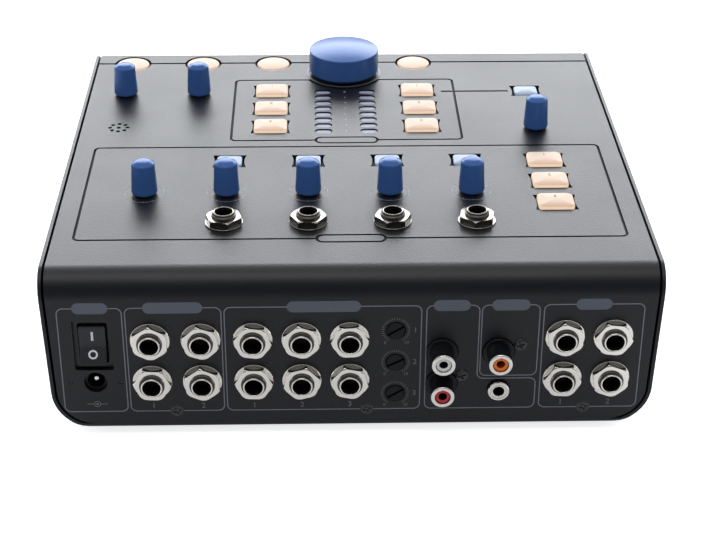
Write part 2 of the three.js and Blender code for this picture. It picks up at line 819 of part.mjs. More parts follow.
function buildKeys() {
  const wideReach = [
    wideKeyWidth + 2 * (wideKeyEndGap + keyLipReach),
    wideKeyDepth + 2 * (wideKeySideGap + keyLipReach),
  ];
  const smallReach = [
    smallKeyWidth + 2 * (smallKeyEndGap + keyLipReach),
    smallKeyDepth + 2 * (smallKeySideGap + keyLipReach),
  ];
  const wide = geometryOf(keyBody(
    roundedRect(wideKeyWidth, wideKeyDepth, wideKeyCorner),
    roundedRect(...wideReach, wideKeyCorner),
    keyProud,
  ));
  const small = geometryOf(keyBody(
    roundedRect(smallKeyWidth, smallKeyDepth, smallKeyCorner),
    roundedRect(...smallReach, smallKeyCorner),
    smallKeyProud,
  ));
  const round = geometryOf(keyBody(
    discShape(roundKeyRadius),
    discShape(roundKeyRadius + roundKeyGap + keyLipReach),
    roundKeyProud,
    facets.bore,
  ));
  const place = (geometry, finish) => ([name, x, row]) => {
    addPiece(name, geometry, finish).position.set(x, fromRear(row), topHeight);
  };
  wideKeys.forEach(place(wide, 'key'));
  roundKeys.forEach(place(round, 'key'));
  smallKeys.forEach(place(small, 'select'));
}

// One clear moulding: a plate under the sheet with a light pipe in every slot
function buildMeterLens() {
  const plateTop = underSheet - looseGap;
  const halfWidth = meterColumn + slotWidth / 2 + lensMargin;
  const firstY = fromRear(meterFirstRow);
  const lastY = fromRear(meterFirstRow + (meterRows - 1) * meterPitch);
  const plate = block(
    [-halfWidth, lastY - slotHeight / 2 - lensMargin, plateTop - lensPlate],
    [halfWidth, firstY + slotHeight / 2 + lensMargin, plateTop],
  );
  const halfPipe = [slotWidth / 2 - lensClearance, slotHeight / 2 - lensClearance];
  const pipes = meterSlots.map(([x, row]) => block(
    [x - halfPipe[0], fromRear(row) - halfPipe[1], plateTop - lensPlate / 2],
    [x + halfPipe[0], fromRear(row) + halfPipe[1], topHeight - lensDrop],
  ));
  addPiece('meter_lens', geometryOf(joined([plate, ...pipes])), 'lens');
}

function hexagon(acrossFlats, turn) {
  const sides = facets.nut;
  const radius = acrossFlats / 2 / Math.cos(fullTurn / 2 / sides);
  const corners = Array.from({ length: sides }, (_, step) => {
    const angle = (step / sides) * fullTurn + turn;
    return new THREE.Vector2(radius * Math.cos(angle), radius * Math.sin(angle));
  });
  return new THREE.Shape(corners);
}

// The part of a quarter-inch socket at its panel face: bushing, washer and nut, pointing up
function socketFront(turn) {
  const bushingFoot = -sheet - 2 * seatGap;
  return joined([
    turned([
      [0, bushingFoot],
      [bushingRadius, bushingFoot],
      [bushingRadius, socketRim - bushingChamfer],
      [socketRimRadius, socketRim],
      [0, socketRim],
    ], facets.hole),
    bar(0, 0, seatGap, seatGap + washerThickness, washerRadius, facets.hole),
    prismUp(hexagon(nutAcrossFlats, turn), seatGap + washerThickness / 2, washerThickness + nutThickness),
  ]);
}

function socketBoreCut() {
  return bar(0, 0, socketRim - socketBoreDepth, socketRim + overrun, socketBore, facets.hole);
}

function buildPhonesJacks() {
  const half = phonesHousing / 2;
  phonesColumns.forEach((x, index) => {
    const housing = block([-half, -half, -sheet - seatGap - housingDepth], [half, half, -sheet - seatGap]);
    const jack = joined([socketFront(index * nutTurn), housing]).subtract(socketBoreCut());
    const mesh = addPiece(`phones_jack_${index + 1}`, geometryOf(jack), 'nickel');
    mesh.position.set(x, fromRear(phonesJackRow), topHeight);
  });
}

// Two sockets in one housing, drawn pointing up and laid back so that they point to the rear
function buildRearJacks() {
  const rowGap = upperSocketHeight - lowerSocketHeight;
  rearPairs.forEach(([name, x], index) => {
    const housing = block(
      [-rearHousingWidth / 2, -rearHousingMargin, -sheet - seatGap - housingDepth],
      [rearHousingWidth / 2, rowGap + rearHousingMargin, -sheet - seatGap],
    );
    const upper = socketFront(index * nutTurn);
    const lower = socketFront((index + 1) * nutTurn);
    const bores = [socketBoreCut(), socketBoreCut().translate([0, rowGap, 0])];
    const pair = cutAll(joined([housing, upper, lower.translate([0, rowGap, 0])]), bores);
    const mesh = addPiece(name, geometryOf(pair), 'nickel');
    mesh.rotation.x = -quarterTurn;
    mesh.position.set(x, rearFace, upperSocketHeight);
  });
}

function buildTrimmers() {
  const shaft = bar(0, 0, -sheet - trimDepth, trimProud, trimRadius, facets.knob).subtract(block(
    [-trimRadius - overrun, -trimSlotWidth / 2, trimProud - trimSlotDepth],
    [trimRadius + overrun, trimSlotWidth / 2, trimProud + overrun],
  ));
  const geometry = geometryOf(shaft);
  trimHeights.forEach((z, index) => {
    const mesh = addPiece(`speaker_trim_${index + 1}`, geometry, 'blackPart');
    mesh.rotation.x = -quarterTurn;
    mesh.position.set(trimColumn, rearFace, z);
  });
}

function buildJackBoard() {
  const half = caseWidth / 2 - jackBoardSideInset;
  const board = block(
    [-half, jackBoardFront - boardThickness, jackBoardBottom],
    [half, jackBoardFront, jackBoardTop],
  );
  const potFar = behindPanel - looseGap;
  const pots = trimHeights.map((z) => barBack(
    trimColumn, z, jackBoardFront - boardThickness / 2, potFar, trimPotRadius, facets.hole,
  ));
  const bores = trimHeights.map((z) => barBack(
    trimColumn, z, behindPanel - trimDepth - looseGap, potFar + overrun,
    trimRadius + trimClearance, facets.hole,
  ));
  addPiece('jack_board', geometryOf(cutAll(joined([board, ...pots]), bores)), 'board');
}

// One phono socket pointing up: boss, sleeve, insert and contact bore
function phonoFront() {
  return [
    turned([
      [0, -sheet - 2 * seatGap],
      [phonoBossRadius, -sheet - 2 * seatGap],
      [phonoBossRadius, phonoBossProud],
      [phonoRadius, phonoBossProud],
      [phonoRadius, phonoReach],
      [phonoRadius - phonoSleeve, phonoReach],
      [phonoRadius - phonoSleeve, phonoReach - phonoInsetDepth],
      [0, phonoReach - phonoInsetDepth],
    ], facets.bore),
    bar(0, 0, phonoReach - phonoPinDepth, phonoReach + overrun, phonoPinRadius, facets.tiny),
  ];
}

function buildPhono(name, x, heights) {
  const low = heights[heights.length - 1] - phonoUpperHeight;
  const housing = block(
    [-phonoHousingWidth / 2, -phonoHousingMargin, -sheet - seatGap - housingDepth],
    [phonoHousingWidth / 2, phonoHousingMargin - low, -sheet - seatGap],
  );
  const fronts = heights.map((z) => {
    const [body, bore] = phonoFront();
    const shift = [0, phonoUpperHeight - z, 0];
    return [body.translate(shift), bore.translate(shift)];
  });
  const whole = cutAll(joined([housing, ...fronts.map(([body]) => body)]), fronts.map(([, bore]) => bore));
  const mesh = addPiece(name, geometryOf(whole), 'nickel');
  mesh.rotation.x = -quarterTurn;
  mesh.position.set(x, rearFace, phonoUpperHeight);
}

function buildMiniJack() {
  const half = miniHousingWidth / 2;
  const body = joined([
    block([-half, -half, -sheet - seatGap - housingDepth], [half, half, -sheet - seatGap]),
    bar(0, 0, -sheet - 2 * seatGap, miniReach, miniRingRadius, facets.bore),
  ]).subtract(bar(0, 0, miniReach - miniBoreDepth, miniReach + overrun, miniBore, facets.bore));
  const mesh = addPiece('mini_jack', geometryOf(body), 'nickel');
  mesh.rotation.x = -quarterTurn;
  mesh.position.set(miniColumn, rearFace, miniHeight);
}

function buildPowerInlet() {
  const half = inletHousingWidth / 2;
  const face = -sheet - seatGap;
  const body = block([-half, -half, face - housingDepth], [half, half, face])
    .subtract(bar(0, 0, face - inletBoreDepth, face + overrun, inletBore, facets.bore))
    .add(bar(0, 0, face - inletBoreDepth - overrun, face - inletPinSetback, inletPinRadius, facets.tiny));
  const mesh = addPiece('power_inlet', geometryOf(body), 'blackPart');
  mesh.rotation.x = -quarterTurn;
  mesh.position.set(inletColumn, rearFace, inletHeight);
}

// The rocker swings about a line across its pocket, so its ends follow arcs about that line
function rockerProfile() {
  const half = rockerLength / 2;
  const shape = new THREE.Shape();
  shape.moveTo(-half, 0);
  shape.lineTo(-half, rockerFaceRise);
  shape.lineTo(0, rockerFaceRise - half * Math.tan(rockerTilt));
  shape.lineTo(half, rockerFaceRise);
  shape.lineTo(half, 0);
  shape.lineTo(half / 2, -rockerBody);
  shape.lineTo(-half / 2, -rockerBody);
  return shape;
}

function buildPowerSwitch() {
  const face = -sheet - seatGap;
  const frameLow = -wellHeight / 2 - switchFrameMargin;
  const inletTop = inletHeight + inletHousingWidth / 2 - wellCentreHeight;
  const pivot = face - rockerPivotDepth + rockerBody;
  const reach = Math.hypot(rockerLength / 2, rockerFaceRise) + rockerClearance;
  const pocketHalfWidth = rockerWidth / 2 + rockerClearance;
  const frame = block(
    [-wellWidth / 2 - switchFrameMargin, frameLow, face - housingDepth],
    [wellWidth / 2 + switchFrameMargin, Math.min(-frameLow, -inletTop - looseGap), face],
  ).subtract(block(
    [-pocketHalfWidth, -reach, face - rockerPocketDepth],
    [pocketHalfWidth, reach, face + overrun],
  ));
  const frameMesh = addPiece('rocker_switch_frame', geometryOf(frame), 'blackPart');
  frameMesh.rotation.x = -quarterTurn;
  frameMesh.position.set(inletColumn, rearFace, wellCentreHeight);
  const rocker = prismAcross(rockerProfile(), rockerWidth / 2);
  const rockerMesh = addPiece('power_rocker', geometryOf(rocker), 'blackPart');
  rockerMesh.rotation.x = -quarterTurn + rockerTilt;
  rockerMesh.position.set(inletColumn, rearFace + pivot, wellCentreHeight);
}

function buildScrews() {
  const screw = geometryOf(turned([
    [0, -screwLength],
    [screwShankRadius, -screwLength],
    [screwShankRadius, -screwHeadDepth],
    [screwHeadRadius, 0],
    [0, 0],
  ], facets.bore));
  Object.entries(screwColumns).forEach(([name, x]) => {
    const mesh = addPiece(`rear_screw_${name}`, screw, 'screw');
    mesh.rotation.x = -quarterTurn;
    mesh.position.set(x, rearFace - seatGap, screwHeight);
  });
}

buildTub();
buildFeet();
buildPanel();
buildMainBoard();
buildMainKnob();
buildSmallKnobs();
buildKeys();
buildMeterLens();
buildPhonesJacks();
buildRearJacks();
buildTrimmers();
buildJackBoard();
buildPhono('aux_phono_jacks', phonoAuxColumn, auxPhonoHeights);
buildPhono('digital_phono_jack', phonoDigitalColumn, [phonoUpperHeight]);
buildMiniJack();
buildPowerInlet();
buildPowerSwitch();
buildScrews();

export default part;
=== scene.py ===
"""Looks of a desktop studio monitor controller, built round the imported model.

Sizes are millimetres until a mesh is made. Places come from the frame's own nodes.
The user sits on the -Y side, the socket panel faces +Y, and Z is up.
"""
import json
import math

import bmesh
import bpy
import numpy as np
from mathutils import Matrix, Vector


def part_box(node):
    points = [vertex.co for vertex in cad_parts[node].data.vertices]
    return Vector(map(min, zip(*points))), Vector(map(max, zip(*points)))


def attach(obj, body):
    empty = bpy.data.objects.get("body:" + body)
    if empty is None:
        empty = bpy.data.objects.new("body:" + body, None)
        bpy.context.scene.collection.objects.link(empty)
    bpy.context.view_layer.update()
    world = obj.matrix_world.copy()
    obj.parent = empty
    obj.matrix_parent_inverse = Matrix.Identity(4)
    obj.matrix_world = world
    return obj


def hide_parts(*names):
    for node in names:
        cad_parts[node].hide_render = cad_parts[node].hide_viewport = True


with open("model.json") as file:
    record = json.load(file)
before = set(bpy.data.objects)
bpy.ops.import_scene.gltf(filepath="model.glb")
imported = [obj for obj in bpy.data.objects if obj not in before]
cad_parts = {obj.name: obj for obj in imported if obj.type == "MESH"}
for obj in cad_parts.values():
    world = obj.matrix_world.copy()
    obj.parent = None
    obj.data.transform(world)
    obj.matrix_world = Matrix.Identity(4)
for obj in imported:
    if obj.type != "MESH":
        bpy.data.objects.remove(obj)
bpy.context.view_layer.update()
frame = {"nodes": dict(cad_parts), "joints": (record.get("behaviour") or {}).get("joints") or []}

MM = 0.001
TAU = 2 * math.pi


def box_mm(node):
    """Lowest and highest corner of a node in millimetres."""
    low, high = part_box(node)
    return np.array(low) / MM, np.array(high) / MM


def middle(node):
    """Centre of a node's box in millimetres."""
    low, high = box_mm(node)
    return (low + high) / 2


def rear_spot(node):
    """X and Z of a node's centre."""
    return middle(node)[[0, 2]]


# Case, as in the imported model
PANEL_LOW, PANEL_HIGH = box_mm("top_panel")
TOP = PANEL_HIGH[2]
REAR = PANEL_HIGH[1]
FRONT = PANEL_LOW[1]
SHELL_LOW, SHELL_HIGH = box_mm("bottom_shell")
BASE = SHELL_LOW[2]
HALF_WIDTH = SHELL_HIGH[0]
DRAFT = math.radians(1.9)
LOWER_CORNER = 15.5
REAR_BEND = 9.5
FRONT_BEND = 8.0
HEEL = 2.0
WALL = 1.2
SHEET = 1.6
PANEL_INSET = 2.1
CLEARANCE = 0.1

# Engraved lines
GROOVE_WIDTH = 1.0
STRIP_WIDTH = 1.25
GROOVE_DEPTH = 0.6
LINE_LOW, LINE_HIGH = TOP - GROOVE_DEPTH, TOP + 1
BOX_CORNER = 2.0
PHONES_BOX = {"half": 98.4, "near": 26.8, "far": 102.1}
LEVEL_BOX = {"half": 45.8, "near": 108.0, "far": 167.7}
PILL_HALF = 12.2
PILL_HEIGHT = 5.2
FRONT_LINE_ROW = 186.6
NOTCH_RADIUS = 16.6
FRONT_LINE_GAP = 12.0
LINK = {"start": -40.4, "end": -68.6, "row": 154.9}

# Controls
WIDE_KEYS = [f"{group}_key_{i}" for group in ("speaker", "source", "cue_source") for i in (1, 2, 3)]
SELECT_KEYS = [f"phones_select_key_{i}" for i in (1, 2, 3, 4)] + ["aux_select_key"]
ROUND_KEYS = [f"front_key_{i}" for i in (1, 2, 3, 4)]
WIDE = {"half": np.array([6.65, 5.55]), "gap": (1.25, 0.45), "corner": 2.2, "proud": 1.5}
SELECT = {"half": np.array([4.8, 4.2]), "gap": (1.7, 1.0), "corner": 1.6, "proud": 0.8}
ROUND = {"radius": 6.9, "gap": 1.0, "lip": 8.8, "proud": 0.45}
OPENING_PINCH = 0.8
KEY_FOOT = -SHEET - 0.8
KEY_LIP = (-SHEET - 1.3, -SHEET - 0.3)
KEY_SHOULDER = 0.5
LIT_DEPTH = 0.6
KEY_CROWN = 0.42
CROWN_SHARES = (0.1, 0.25, 0.4, 0.6, 0.8, 1.0)
RING_KNOBS = ["cue_knob"] + [f"phones_knob_{i}" for i in (1, 2, 3, 4)]
SMALL_KNOBS = ["cue_knob", "talkback_knob", "dim_knob", "aux_knob"] + RING_KNOBS[1:]
KNOB_X, KNOB_Y = middle("main_knob")[:2]
MAIN_RADIUS = 14.7
MAIN_APEX = 12.6
MAIN_DOME = 1.7
SHAFT_FOOT = -10.6
SHAFT_HOLE = 3.4
METER = {"column": 9.1, "first": 116.4, "pitch": 5.51, "rows": 8, "width": 7.0, "height": 4.0}
MICROPHONE = {"row": 120.9, "ring": 3.5, "hole": 0.85}

# Sockets
PHONES = [f"phones_jack_{i}" for i in (1, 2, 3, 4)]
PAIRS = ["line_jacks_main", "line_jacks_cue", "speaker_jacks_1", "speaker_jacks_2", "speaker_jacks_3",
         "input_jacks_1", "input_jacks_2"]
TRIMS = [f"speaker_trim_{i}" for i in (1, 2, 3)]
NUT_FLATS = 11.8
NUT_TOP = 2.9
WASHER_RADIUS = 6.9
BUSHING_RADIUS = 4.4
HOLE_SLACK = 0.3
THREAD_RIM = 3.82
LIP_RADIUS = 3.8
SOCKET_RIM = 4.7
SOCKET_BORE = 3.2
SOCKET_DEPTH = 14.0
SOCKET_ROWS = (39.8, 39.8 - 17.1)
NUT_TURNS = [(0.1, 0.9), (0.4, 0.2), (0.75, 0.95), (0.35, 1.5), (1.1, 0.6), (0.2, 0.9), (0.8, 0.3)]
PHONOS = [(-31.3, 33.8, "white", ["aux_phono_jacks"]), (-31.3, 20.7, "red", []),
          (-51.1, 33.8, "orange", ["digital_phono_jack"])]
RIVET_REACH = 8.7
ROCKER_REACH = 4.6
ROCKER_HALF = 7.4
ROCKER_RISE = 2.6
ROCKER_BODY = 4.0
ROCKER_TILT = math.radians(8)
ROCKER_VALLEY = ROCKER_RISE - ROCKER_HALF * math.tan(ROCKER_TILT)
AXIS = 0.01

# Printing
INK = 0.03
LINE_WIDTH = 0.38
PRINT_TOP = TOP - 12.1
PRINT_BOTTOM = TOP - 54.7
PRINT_PILL = 4.4


def row_y(row):
    """Y of a row, which is a distance from the rear face along the top."""
    return REAR - row


METER_SPOTS = [(x, row_y(METER["first"] + step * METER["pitch"]))
               for x in (METER["column"], -METER["column"]) for step in range(METER["rows"])]


# Meshes: a part is (vertices in millimetres, list of faces)

def round_angles(count):
    """Angles that divide a full turn evenly."""
    return np.arange(count) / count * TAU


def polar(radius, angle):
    """Points at a radius and an angle: the radius times cosine and times sine."""
    return np.stack([radius * np.cos(angle), radius * np.sin(angle)], -1)


def raised(outline, z):
    """A flat outline at one height."""
    return np.c_[outline, np.full(len(outline), z)]


def loft(rings, ends="fan"):
    """Rings of points joined in order by quads. The ends are closed by a fan to their mean point or, where a
    ring runs out along one wall and back along the other, by a strip from wall to wall, or are joined."""
    rings = np.asarray(rings, float)
    count, size = rings.shape[:2]
    index = np.arange(count * size).reshape(count, size)
    if ends == "joined":
        index = np.vstack([index, index[:1]])
    following = np.roll(index, -1, axis=1)
    faces = np.stack([index[:-1], following[:-1], following[1:], index[1:]], -1).reshape(-1, 4).tolist()
    points = rings.reshape(-1, 3)
    if ends == "fan":
        points = np.vstack([points, rings[0].mean(0), rings[-1].mean(0)])
        first, last = count * size, count * size + 1
        faces += np.stack([following[0], index[0], np.full(size, first)], -1).tolist()
        faces += np.stack([index[-1], following[-1], np.full(size, last)], -1).tolist()
    if ends == "strip":
        half = size // 2
        for ring in (index[0], index[-1]):
            wall, back = ring[:half], ring[half:][::-1]
            faces += np.stack([wall[:-1], wall[1:], back[1:], back[:-1]], -1).tolist()
    return points, faces


def band(path, width, low, high, closed):
    """A flat strip along a path in X and Y: each point is moved half the width to both sides, square to the
    mean of the directions before and after it, and the section is a rectangle."""
    path = np.asarray(path, float)
    if closed:
        before, after = path - np.roll(path, 1, axis=0), np.roll(path, -1, axis=0) - path
    else:
        step = np.diff(path, axis=0)
        before, after = np.vstack([step[:1], step]), np.vstack([step, step[-1:]])
    unit = lambda v: v / np.maximum(np.linalg.norm(v, axis=1), 1e-9)[:, None]
    side_before, side_after = (unit(v)[:, ::-1] * (-1, 1) for v in (before, after))
    side = unit(side_before + side_after)
    stretch = 1 / np.maximum((side * side_after).sum(1), 0.5)
    offset = side * (stretch * width / 2)[:, None]
    section = [(1, low), (1, high), (-1, high), (-1, low)]
    rings = np.stack([raised(path + way * offset, z) for way, z in section], 1)
    return loft(rings, "joined" if closed else "fan")


def rounded(corners, steps=6):
    """A polyline with rounded corners: each is (x, y) or (x, y, radius), and an arc tangent to both sides
    takes the place of one with a radius. The end points stay."""
    corners = [(*corner, 0)[:3] for corner in corners]
    out = []
    for i, (x, y, radius) in enumerate(corners):
        here = np.array([x, y], float)
        if radius == 0 or i in (0, len(corners) - 1):
            out.append(here)
            continue
        a = np.array(corners[i - 1][:2], float) - here
        b = np.array(corners[i + 1][:2], float) - here
        a, b = a / np.linalg.norm(a), b / np.linalg.norm(b)
        half = math.acos(np.clip(a @ b, -1, 1)) / 2
        reach = radius / math.tan(half)
        centre = here + (a + b) / np.linalg.norm(a + b) * radius / math.sin(half)
        start, end = here + a * reach - centre, here + b * reach - centre
        angles = np.linspace(0, math.atan2(start[0] * end[1] - start[1] * end[0], start @ end), steps + 1)
        c, s = np.cos(angles), np.sin(angles)
        out += list(centre + np.stack([start[0] * c - start[1] * s, start[0] * s + start[1] * c], -1))
    return np.array(out)


def around(radius, height, angle):
    """Rings round Z, one for each height, with one radius each or one for each angle."""
    heights = np.asarray(height)[:, None] + 0 * angle
    return np.stack([radius * np.cos(angle), radius * np.sin(angle), heights], -1)


def turned(profile, segments=64, ends="fan"):
    """A profile of radius and height carried round Z."""
    profile = np.asarray(profile, float)
    return loft(around(profile[:, :1], profile[:, 1], round_angles(segments)), ends)


def lathe(corners, segments=64, steps=6):
    """A turned part whose profile has rounded corners."""
    return turned(rounded(corners, steps), segments)


def rounded_rectangle(width, depth, radius, steps=8):
    """Four quarter arcs about the middle, joined by straight sides."""
    quarter = np.linspace(0, TAU / 4, steps + 1)
    return np.vstack([
        (sx * (width / 2 - radius), sy * (depth / 2 - radius)) + polar(radius, quarter + k * TAU / 4)
        for k, (sx, sy) in enumerate(((1, 1), (-1, 1), (-1, -1), (1, -1)))])


def pillow(width, depth, corner, layers):
    """A cap on a rounded rectangle: each layer is (inset, height), and the outline shrinks by the inset."""
    outline = lambda inset: rounded_rectangle(width - 2 * inset, depth - 2 * inset, max(corner - inset, 0.05))
    return loft([raised(outline(inset), height) for inset, height in layers])


def prism(outline, low, high):
    """A flat outline drawn up from one height to another."""
    return loft([raised(outline, z) for z in (low, high)])


def cuboid(low, high):
    """A box between two corners."""
    (x1, y1, z1), (x2, y2, z2) = low, high
    return prism([(x1, y1), (x2, y1), (x2, y2), (x1, y2)], z1, z2)


def disc_outline(radius, segments=48):
    """A circle about the middle."""
    return polar(radius, round_angles(segments))


def moved(part, x=0.0, y=0.0, z=0.0):
    """The part shifted."""
    points, faces = part
    return points + (x, y, z), faces


def on_top(part, node):
    """The part put on the control top, over the middle of a node."""
    return moved(part, *middle(node)[:2], TOP)


def spun(part, angle):
    """The part turned about Z."""
    points, faces = part
    c, s = math.cos(angle), math.sin(angle)
    return points @ np.array([[c, s, 0], [-s, c, 0], [0, 0, 1]]), faces


def to_rear(part, x, z, face=REAR):
    """A part drawn as seen by a viewer of the socket panel, X right and Y up, put on that panel."""
    points, faces = part
    return np.c_[x - points[:, 0], face + points[:, 2], z + points[:, 1]], faces


def together(parts):
    """Several parts as one."""
    points, faces, start = [], [], 0
    for some_points, some_faces in parts:
        points.append(some_points)
        faces += [[i + start for i in face] for face in some_faces]
        start += len(some_points)
    return np.vstack(points), faces


def mesh_of(name, part):
    """A Blender mesh in metres with its faces pointing outwards."""
    points, faces = part
    mesh = bpy.data.meshes.new(name)
    mesh.from_pydata((points * MM).tolist(), [], faces)
    work = bmesh.new()
    work.from_mesh(mesh)
    bmesh.ops.remove_doubles(work, verts=work.verts, dist=1e-7)
    bmesh.ops.recalc_face_normals(work, faces=work.faces)
    if work.calc_volume(signed=True) < 0:
        bmesh.ops.reverse_faces(work, faces=work.faces)
    work.to_mesh(mesh)
    work.free()
    return mesh


def new_object(name, data):
    """An object at the origin, linked into the scene."""
    thing = bpy.data.objects.new(name, data)
    bpy.context.scene.collection.objects.link(thing)
    return thing


def having(thing, **settings):
    """The thing with its settings made."""
    for name, value in settings.items():
        setattr(thing, name, value)
    return thing


def finished_mesh(thing, tools=()):
    """The mesh an object has after its modifiers. The object and its tools are then removed."""
    bpy.context.view_layer.update()
    mesh = bpy.data.meshes.new_from_object(thing.evaluated_get(bpy.context.evaluated_depsgraph_get()))
    for used in (thing, *tools):
        bpy.data.objects.remove(used)
    return mesh


def piece(name, part, material, replaced=(), body="case", sharp_angle=32):
    """A finished piece that rides on a body and takes a material. Gives its mesh."""
    mesh = part if isinstance(part, bpy.types.Mesh) else mesh_of(name, part)
    mesh.shade_smooth()
    mesh.set_sharp_from_angle(angle=math.radians(sharp_angle))
    mesh.materials.clear()
    mesh.materials.append(material)
    thing = new_object(name, mesh)
    having(thing.modifiers.new("flat_faces", "WEIGHTED_NORMAL"), keep_sharp=True, weight=90)
    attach(thing, body)
    if replaced:
        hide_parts(*replaced)
    return mesh


def second_material(mesh, material, chosen):
    """Another material on the faces whose middles, in millimetres, pass a test."""
    mesh.materials.append(material)
    centres = np.empty(3 * len(mesh.polygons), np.float32)
    mesh.polygons.foreach_get("center", centres)
    mesh.polygons.foreach_set("material_index", chosen(centres.reshape(-1, 3) / MM).astype(np.int32))


def carved(name, part, cutters, bevel=0.0):
    """The part with each group of cutters taken away in turn, and its sharp edges bevelled."""
    base = new_object(name + "_blank", mesh_of(name, part))
    tools = []
    for step, group in enumerate(cutters):
        tools.append(new_object(f"{name}_tool_{step}", mesh_of(name, together(group))))
        having(base.modifiers.new(f"cut_{step}", "BOOLEAN"), operation="DIFFERENCE", solver="EXACT",
               object=tools[-1])
    if bevel:
        having(base.modifiers.new("edges", "BEVEL"), width=bevel * MM, segments=2, limit_method="ANGLE",
               angle_limit=math.radians(42), use_clamp_overlap=True)
    return finished_mesh(base, tools)


def text_part(words, size, thickness=INK):
    """Plain digits as a solid, centred on the middle, standing on Z 0."""
    curve = having(bpy.data.curves.new("digits", "FONT"), body=words, size=size * MM, resolution_u=4,
                   extrude=thickness * MM / 2, align_x="CENTER", align_y="CENTER")
    mesh = finished_mesh(new_object("digits", curve))
    points = np.array([v.co for v in mesh.vertices]) / MM + (0, 0, thickness / 2)
    return points, [list(p.vertices) for p in mesh.polygons]


# Materials

def set_node(tree, node, **inputs):
    """Each input, named with _ for a space, gets a value, or a link from the socket given for it."""
    for name, value in inputs.items():
        socket = node.inputs[name.replace("_", " ")]
        if isinstance(value, bpy.types.NodeSocket):
            tree.links.new(value, socket)
        else:
            socket.default_value = value


def outputs_of(tree, kind, settings=None, **inputs):
    """The outputs of a new node of a kind."""
    node = having(tree.nodes.new("ShaderNode" + kind), **(settings or {}))
    set_node(tree, node, **inputs)
    return node.outputs


def remapped(tree, value, span, onto=(0.0, 1.0), curve="LINEAR"):
    """A value carried from one span onto another and held at its ends."""
    return outputs_of(tree, "MapRange", {"interpolation_type": curve}, Value=value, From_Min=span[0],
                      From_Max=span[1], To_Min=onto[0], To_Max=onto[1])["Result"]


def maths(tree, operation, a, b):
    """One operation on two values."""
    node = having(tree.nodes.new("ShaderNodeMath"), operation=operation)
    tree.links.new(a, node.inputs[0])
    tree.links.new(b, node.inputs[1])
    return node.outputs[0]


def mixed(tree, factor, a, b, name="mix"):
    """A colour or socket that gives way to another by a factor."""
    a, b = ((*colour, 1) if isinstance(colour, tuple) else colour for colour in (a, b))
    return outputs_of(tree, "Mix", {"data_type": "RGBA", "name": name}, Factor=factor, A=a, B=b)["Result"]


def node_group(name, number, results):
    """An empty group that takes a vector and a number and puts out numbers."""
    tree = bpy.data.node_groups.new(name, "ShaderNodeTree")
    tree.interface.new_socket(name="Vector", in_out="INPUT", socket_type="NodeSocketVector")
    tree.interface.new_socket(name=number, in_out="INPUT", socket_type="NodeSocketFloat")
    for result in results:
        tree.interface.new_socket(name=result, in_out="OUTPUT", socket_type="NodeSocketFloat")
    return tree, tree.nodes.new("NodeGroupInput").outputs, tree.nodes.new("NodeGroupOutput")


def build_grain_group():
    """Fine grain: a small noise for the height and a broad one for how much a finish varies."""
    tree, given, result = node_group("moulded_grain", "Scale", ("Height", "Cloud"))
    fine = outputs_of(tree, "TexNoise", Vector=given["Vector"], Scale=given["Scale"], Detail=3.0,
                      Roughness=0.65)
    broad = outputs_of(tree, "TexNoise", Vector=given["Vector"], Scale=38.0, Detail=4.0)
    set_node(tree, result, Height=fine["Fac"], Cloud=broad["Fac"])
    return tree


def build_wear_group():
    """Edge wear: where the surface turns sharply outwards, broken up by a noise of a few millimetres."""
    tree, given, result = node_group("edge_wear", "Amount", ["Mask"])
    edge = remapped(tree, outputs_of(tree, "NewGeometry")["Pointiness"], (0.53, 0.66))
    patches = outputs_of(tree, "TexNoise", Vector=given["Vector"], Scale=260.0, Detail=5.0)
    broken = maths(tree, "MULTIPLY", edge, remapped(tree, patches["Fac"], (0.42, 0.62)))
    set_node(tree, result, Mask=maths(tree, "MULTIPLY", broken, given["Amount"]))
    return tree


GRAIN = build_grain_group()
WEAR = build_wear_group()


def finish(name, colour, other, rough, grain=2500.0, bump=0.08, metallic=0.0, wear=0.0, level=0.5):
    """The colour drifts between two near tones and the roughness between two values, the edges wear lighter,
    and the surface has a fine grain."""
    material = bpy.data.materials.new(name)
    material.use_nodes = True
    tree = material.node_tree
    place = outputs_of(tree, "TexCoord")["Object"]
    noise = outputs_of(tree, "Group", {"node_tree": GRAIN}, Vector=place, Scale=grain)
    worn = outputs_of(tree, "Group", {"node_tree": WEAR}, Vector=place, Amount=wear)["Mask"]
    tone = mixed(tree, noise["Cloud"], colour, other, "tone")
    relief = outputs_of(tree, "Bump", Strength=bump, Distance=0.0001, Height=noise["Height"])
    set_node(tree, tree.nodes["Principled BSDF"], Metallic=metallic, Specular_IOR_Level=level,
             Base_Color=mixed(tree, worn, tone, tuple(0.35 * v + 0.14 for v in colour), "worn_edge"),
             Roughness=remapped(tree, noise["Cloud"], (0.3, 0.7), rough), Normal=relief["Normal"])
    return material


def painted_glow_key_finish(name, top, side, painted_wall_glow, painted_top_glow, painted_far_sheen):
    """A translucent cap that glows though it is no lamp, all painted light: the colour and painted glow of
    its walls give way to those of its face as the surface turns up, and a painted sheen pales the face where
    it leans away from the socket panel."""
    material = finish(name, top, top, (0.34, 0.42), grain=900.0, bump=0.02, level=0.15)
    tree = material.node_tree
    facing = outputs_of(tree, "SeparateXYZ", Vector=outputs_of(tree, "NewGeometry")["Normal"])
    # Walls against face by how far the surface turns up: painted glow and shade by orientation
    up = remapped(tree, facing["Z"], (0.35, 0.98))
    walls = mixed(tree, up, side, tree.nodes["tone"].outputs["Result"])
    set_node(tree, tree.nodes["worn_edge"], A=walls)
    # Painted sheen: the face glows paler where it leans away from the socket panel
    painted_face_glow = mixed(tree, remapped(tree, facing["Y"], (0.12, -0.10)), painted_top_glow, painted_far_sheen)
    set_node(tree, tree.nodes["Principled BSDF"], Emission_Color=mixed(tree, up, painted_wall_glow, painted_face_glow),
             Emission_Strength=1.0)
    return material


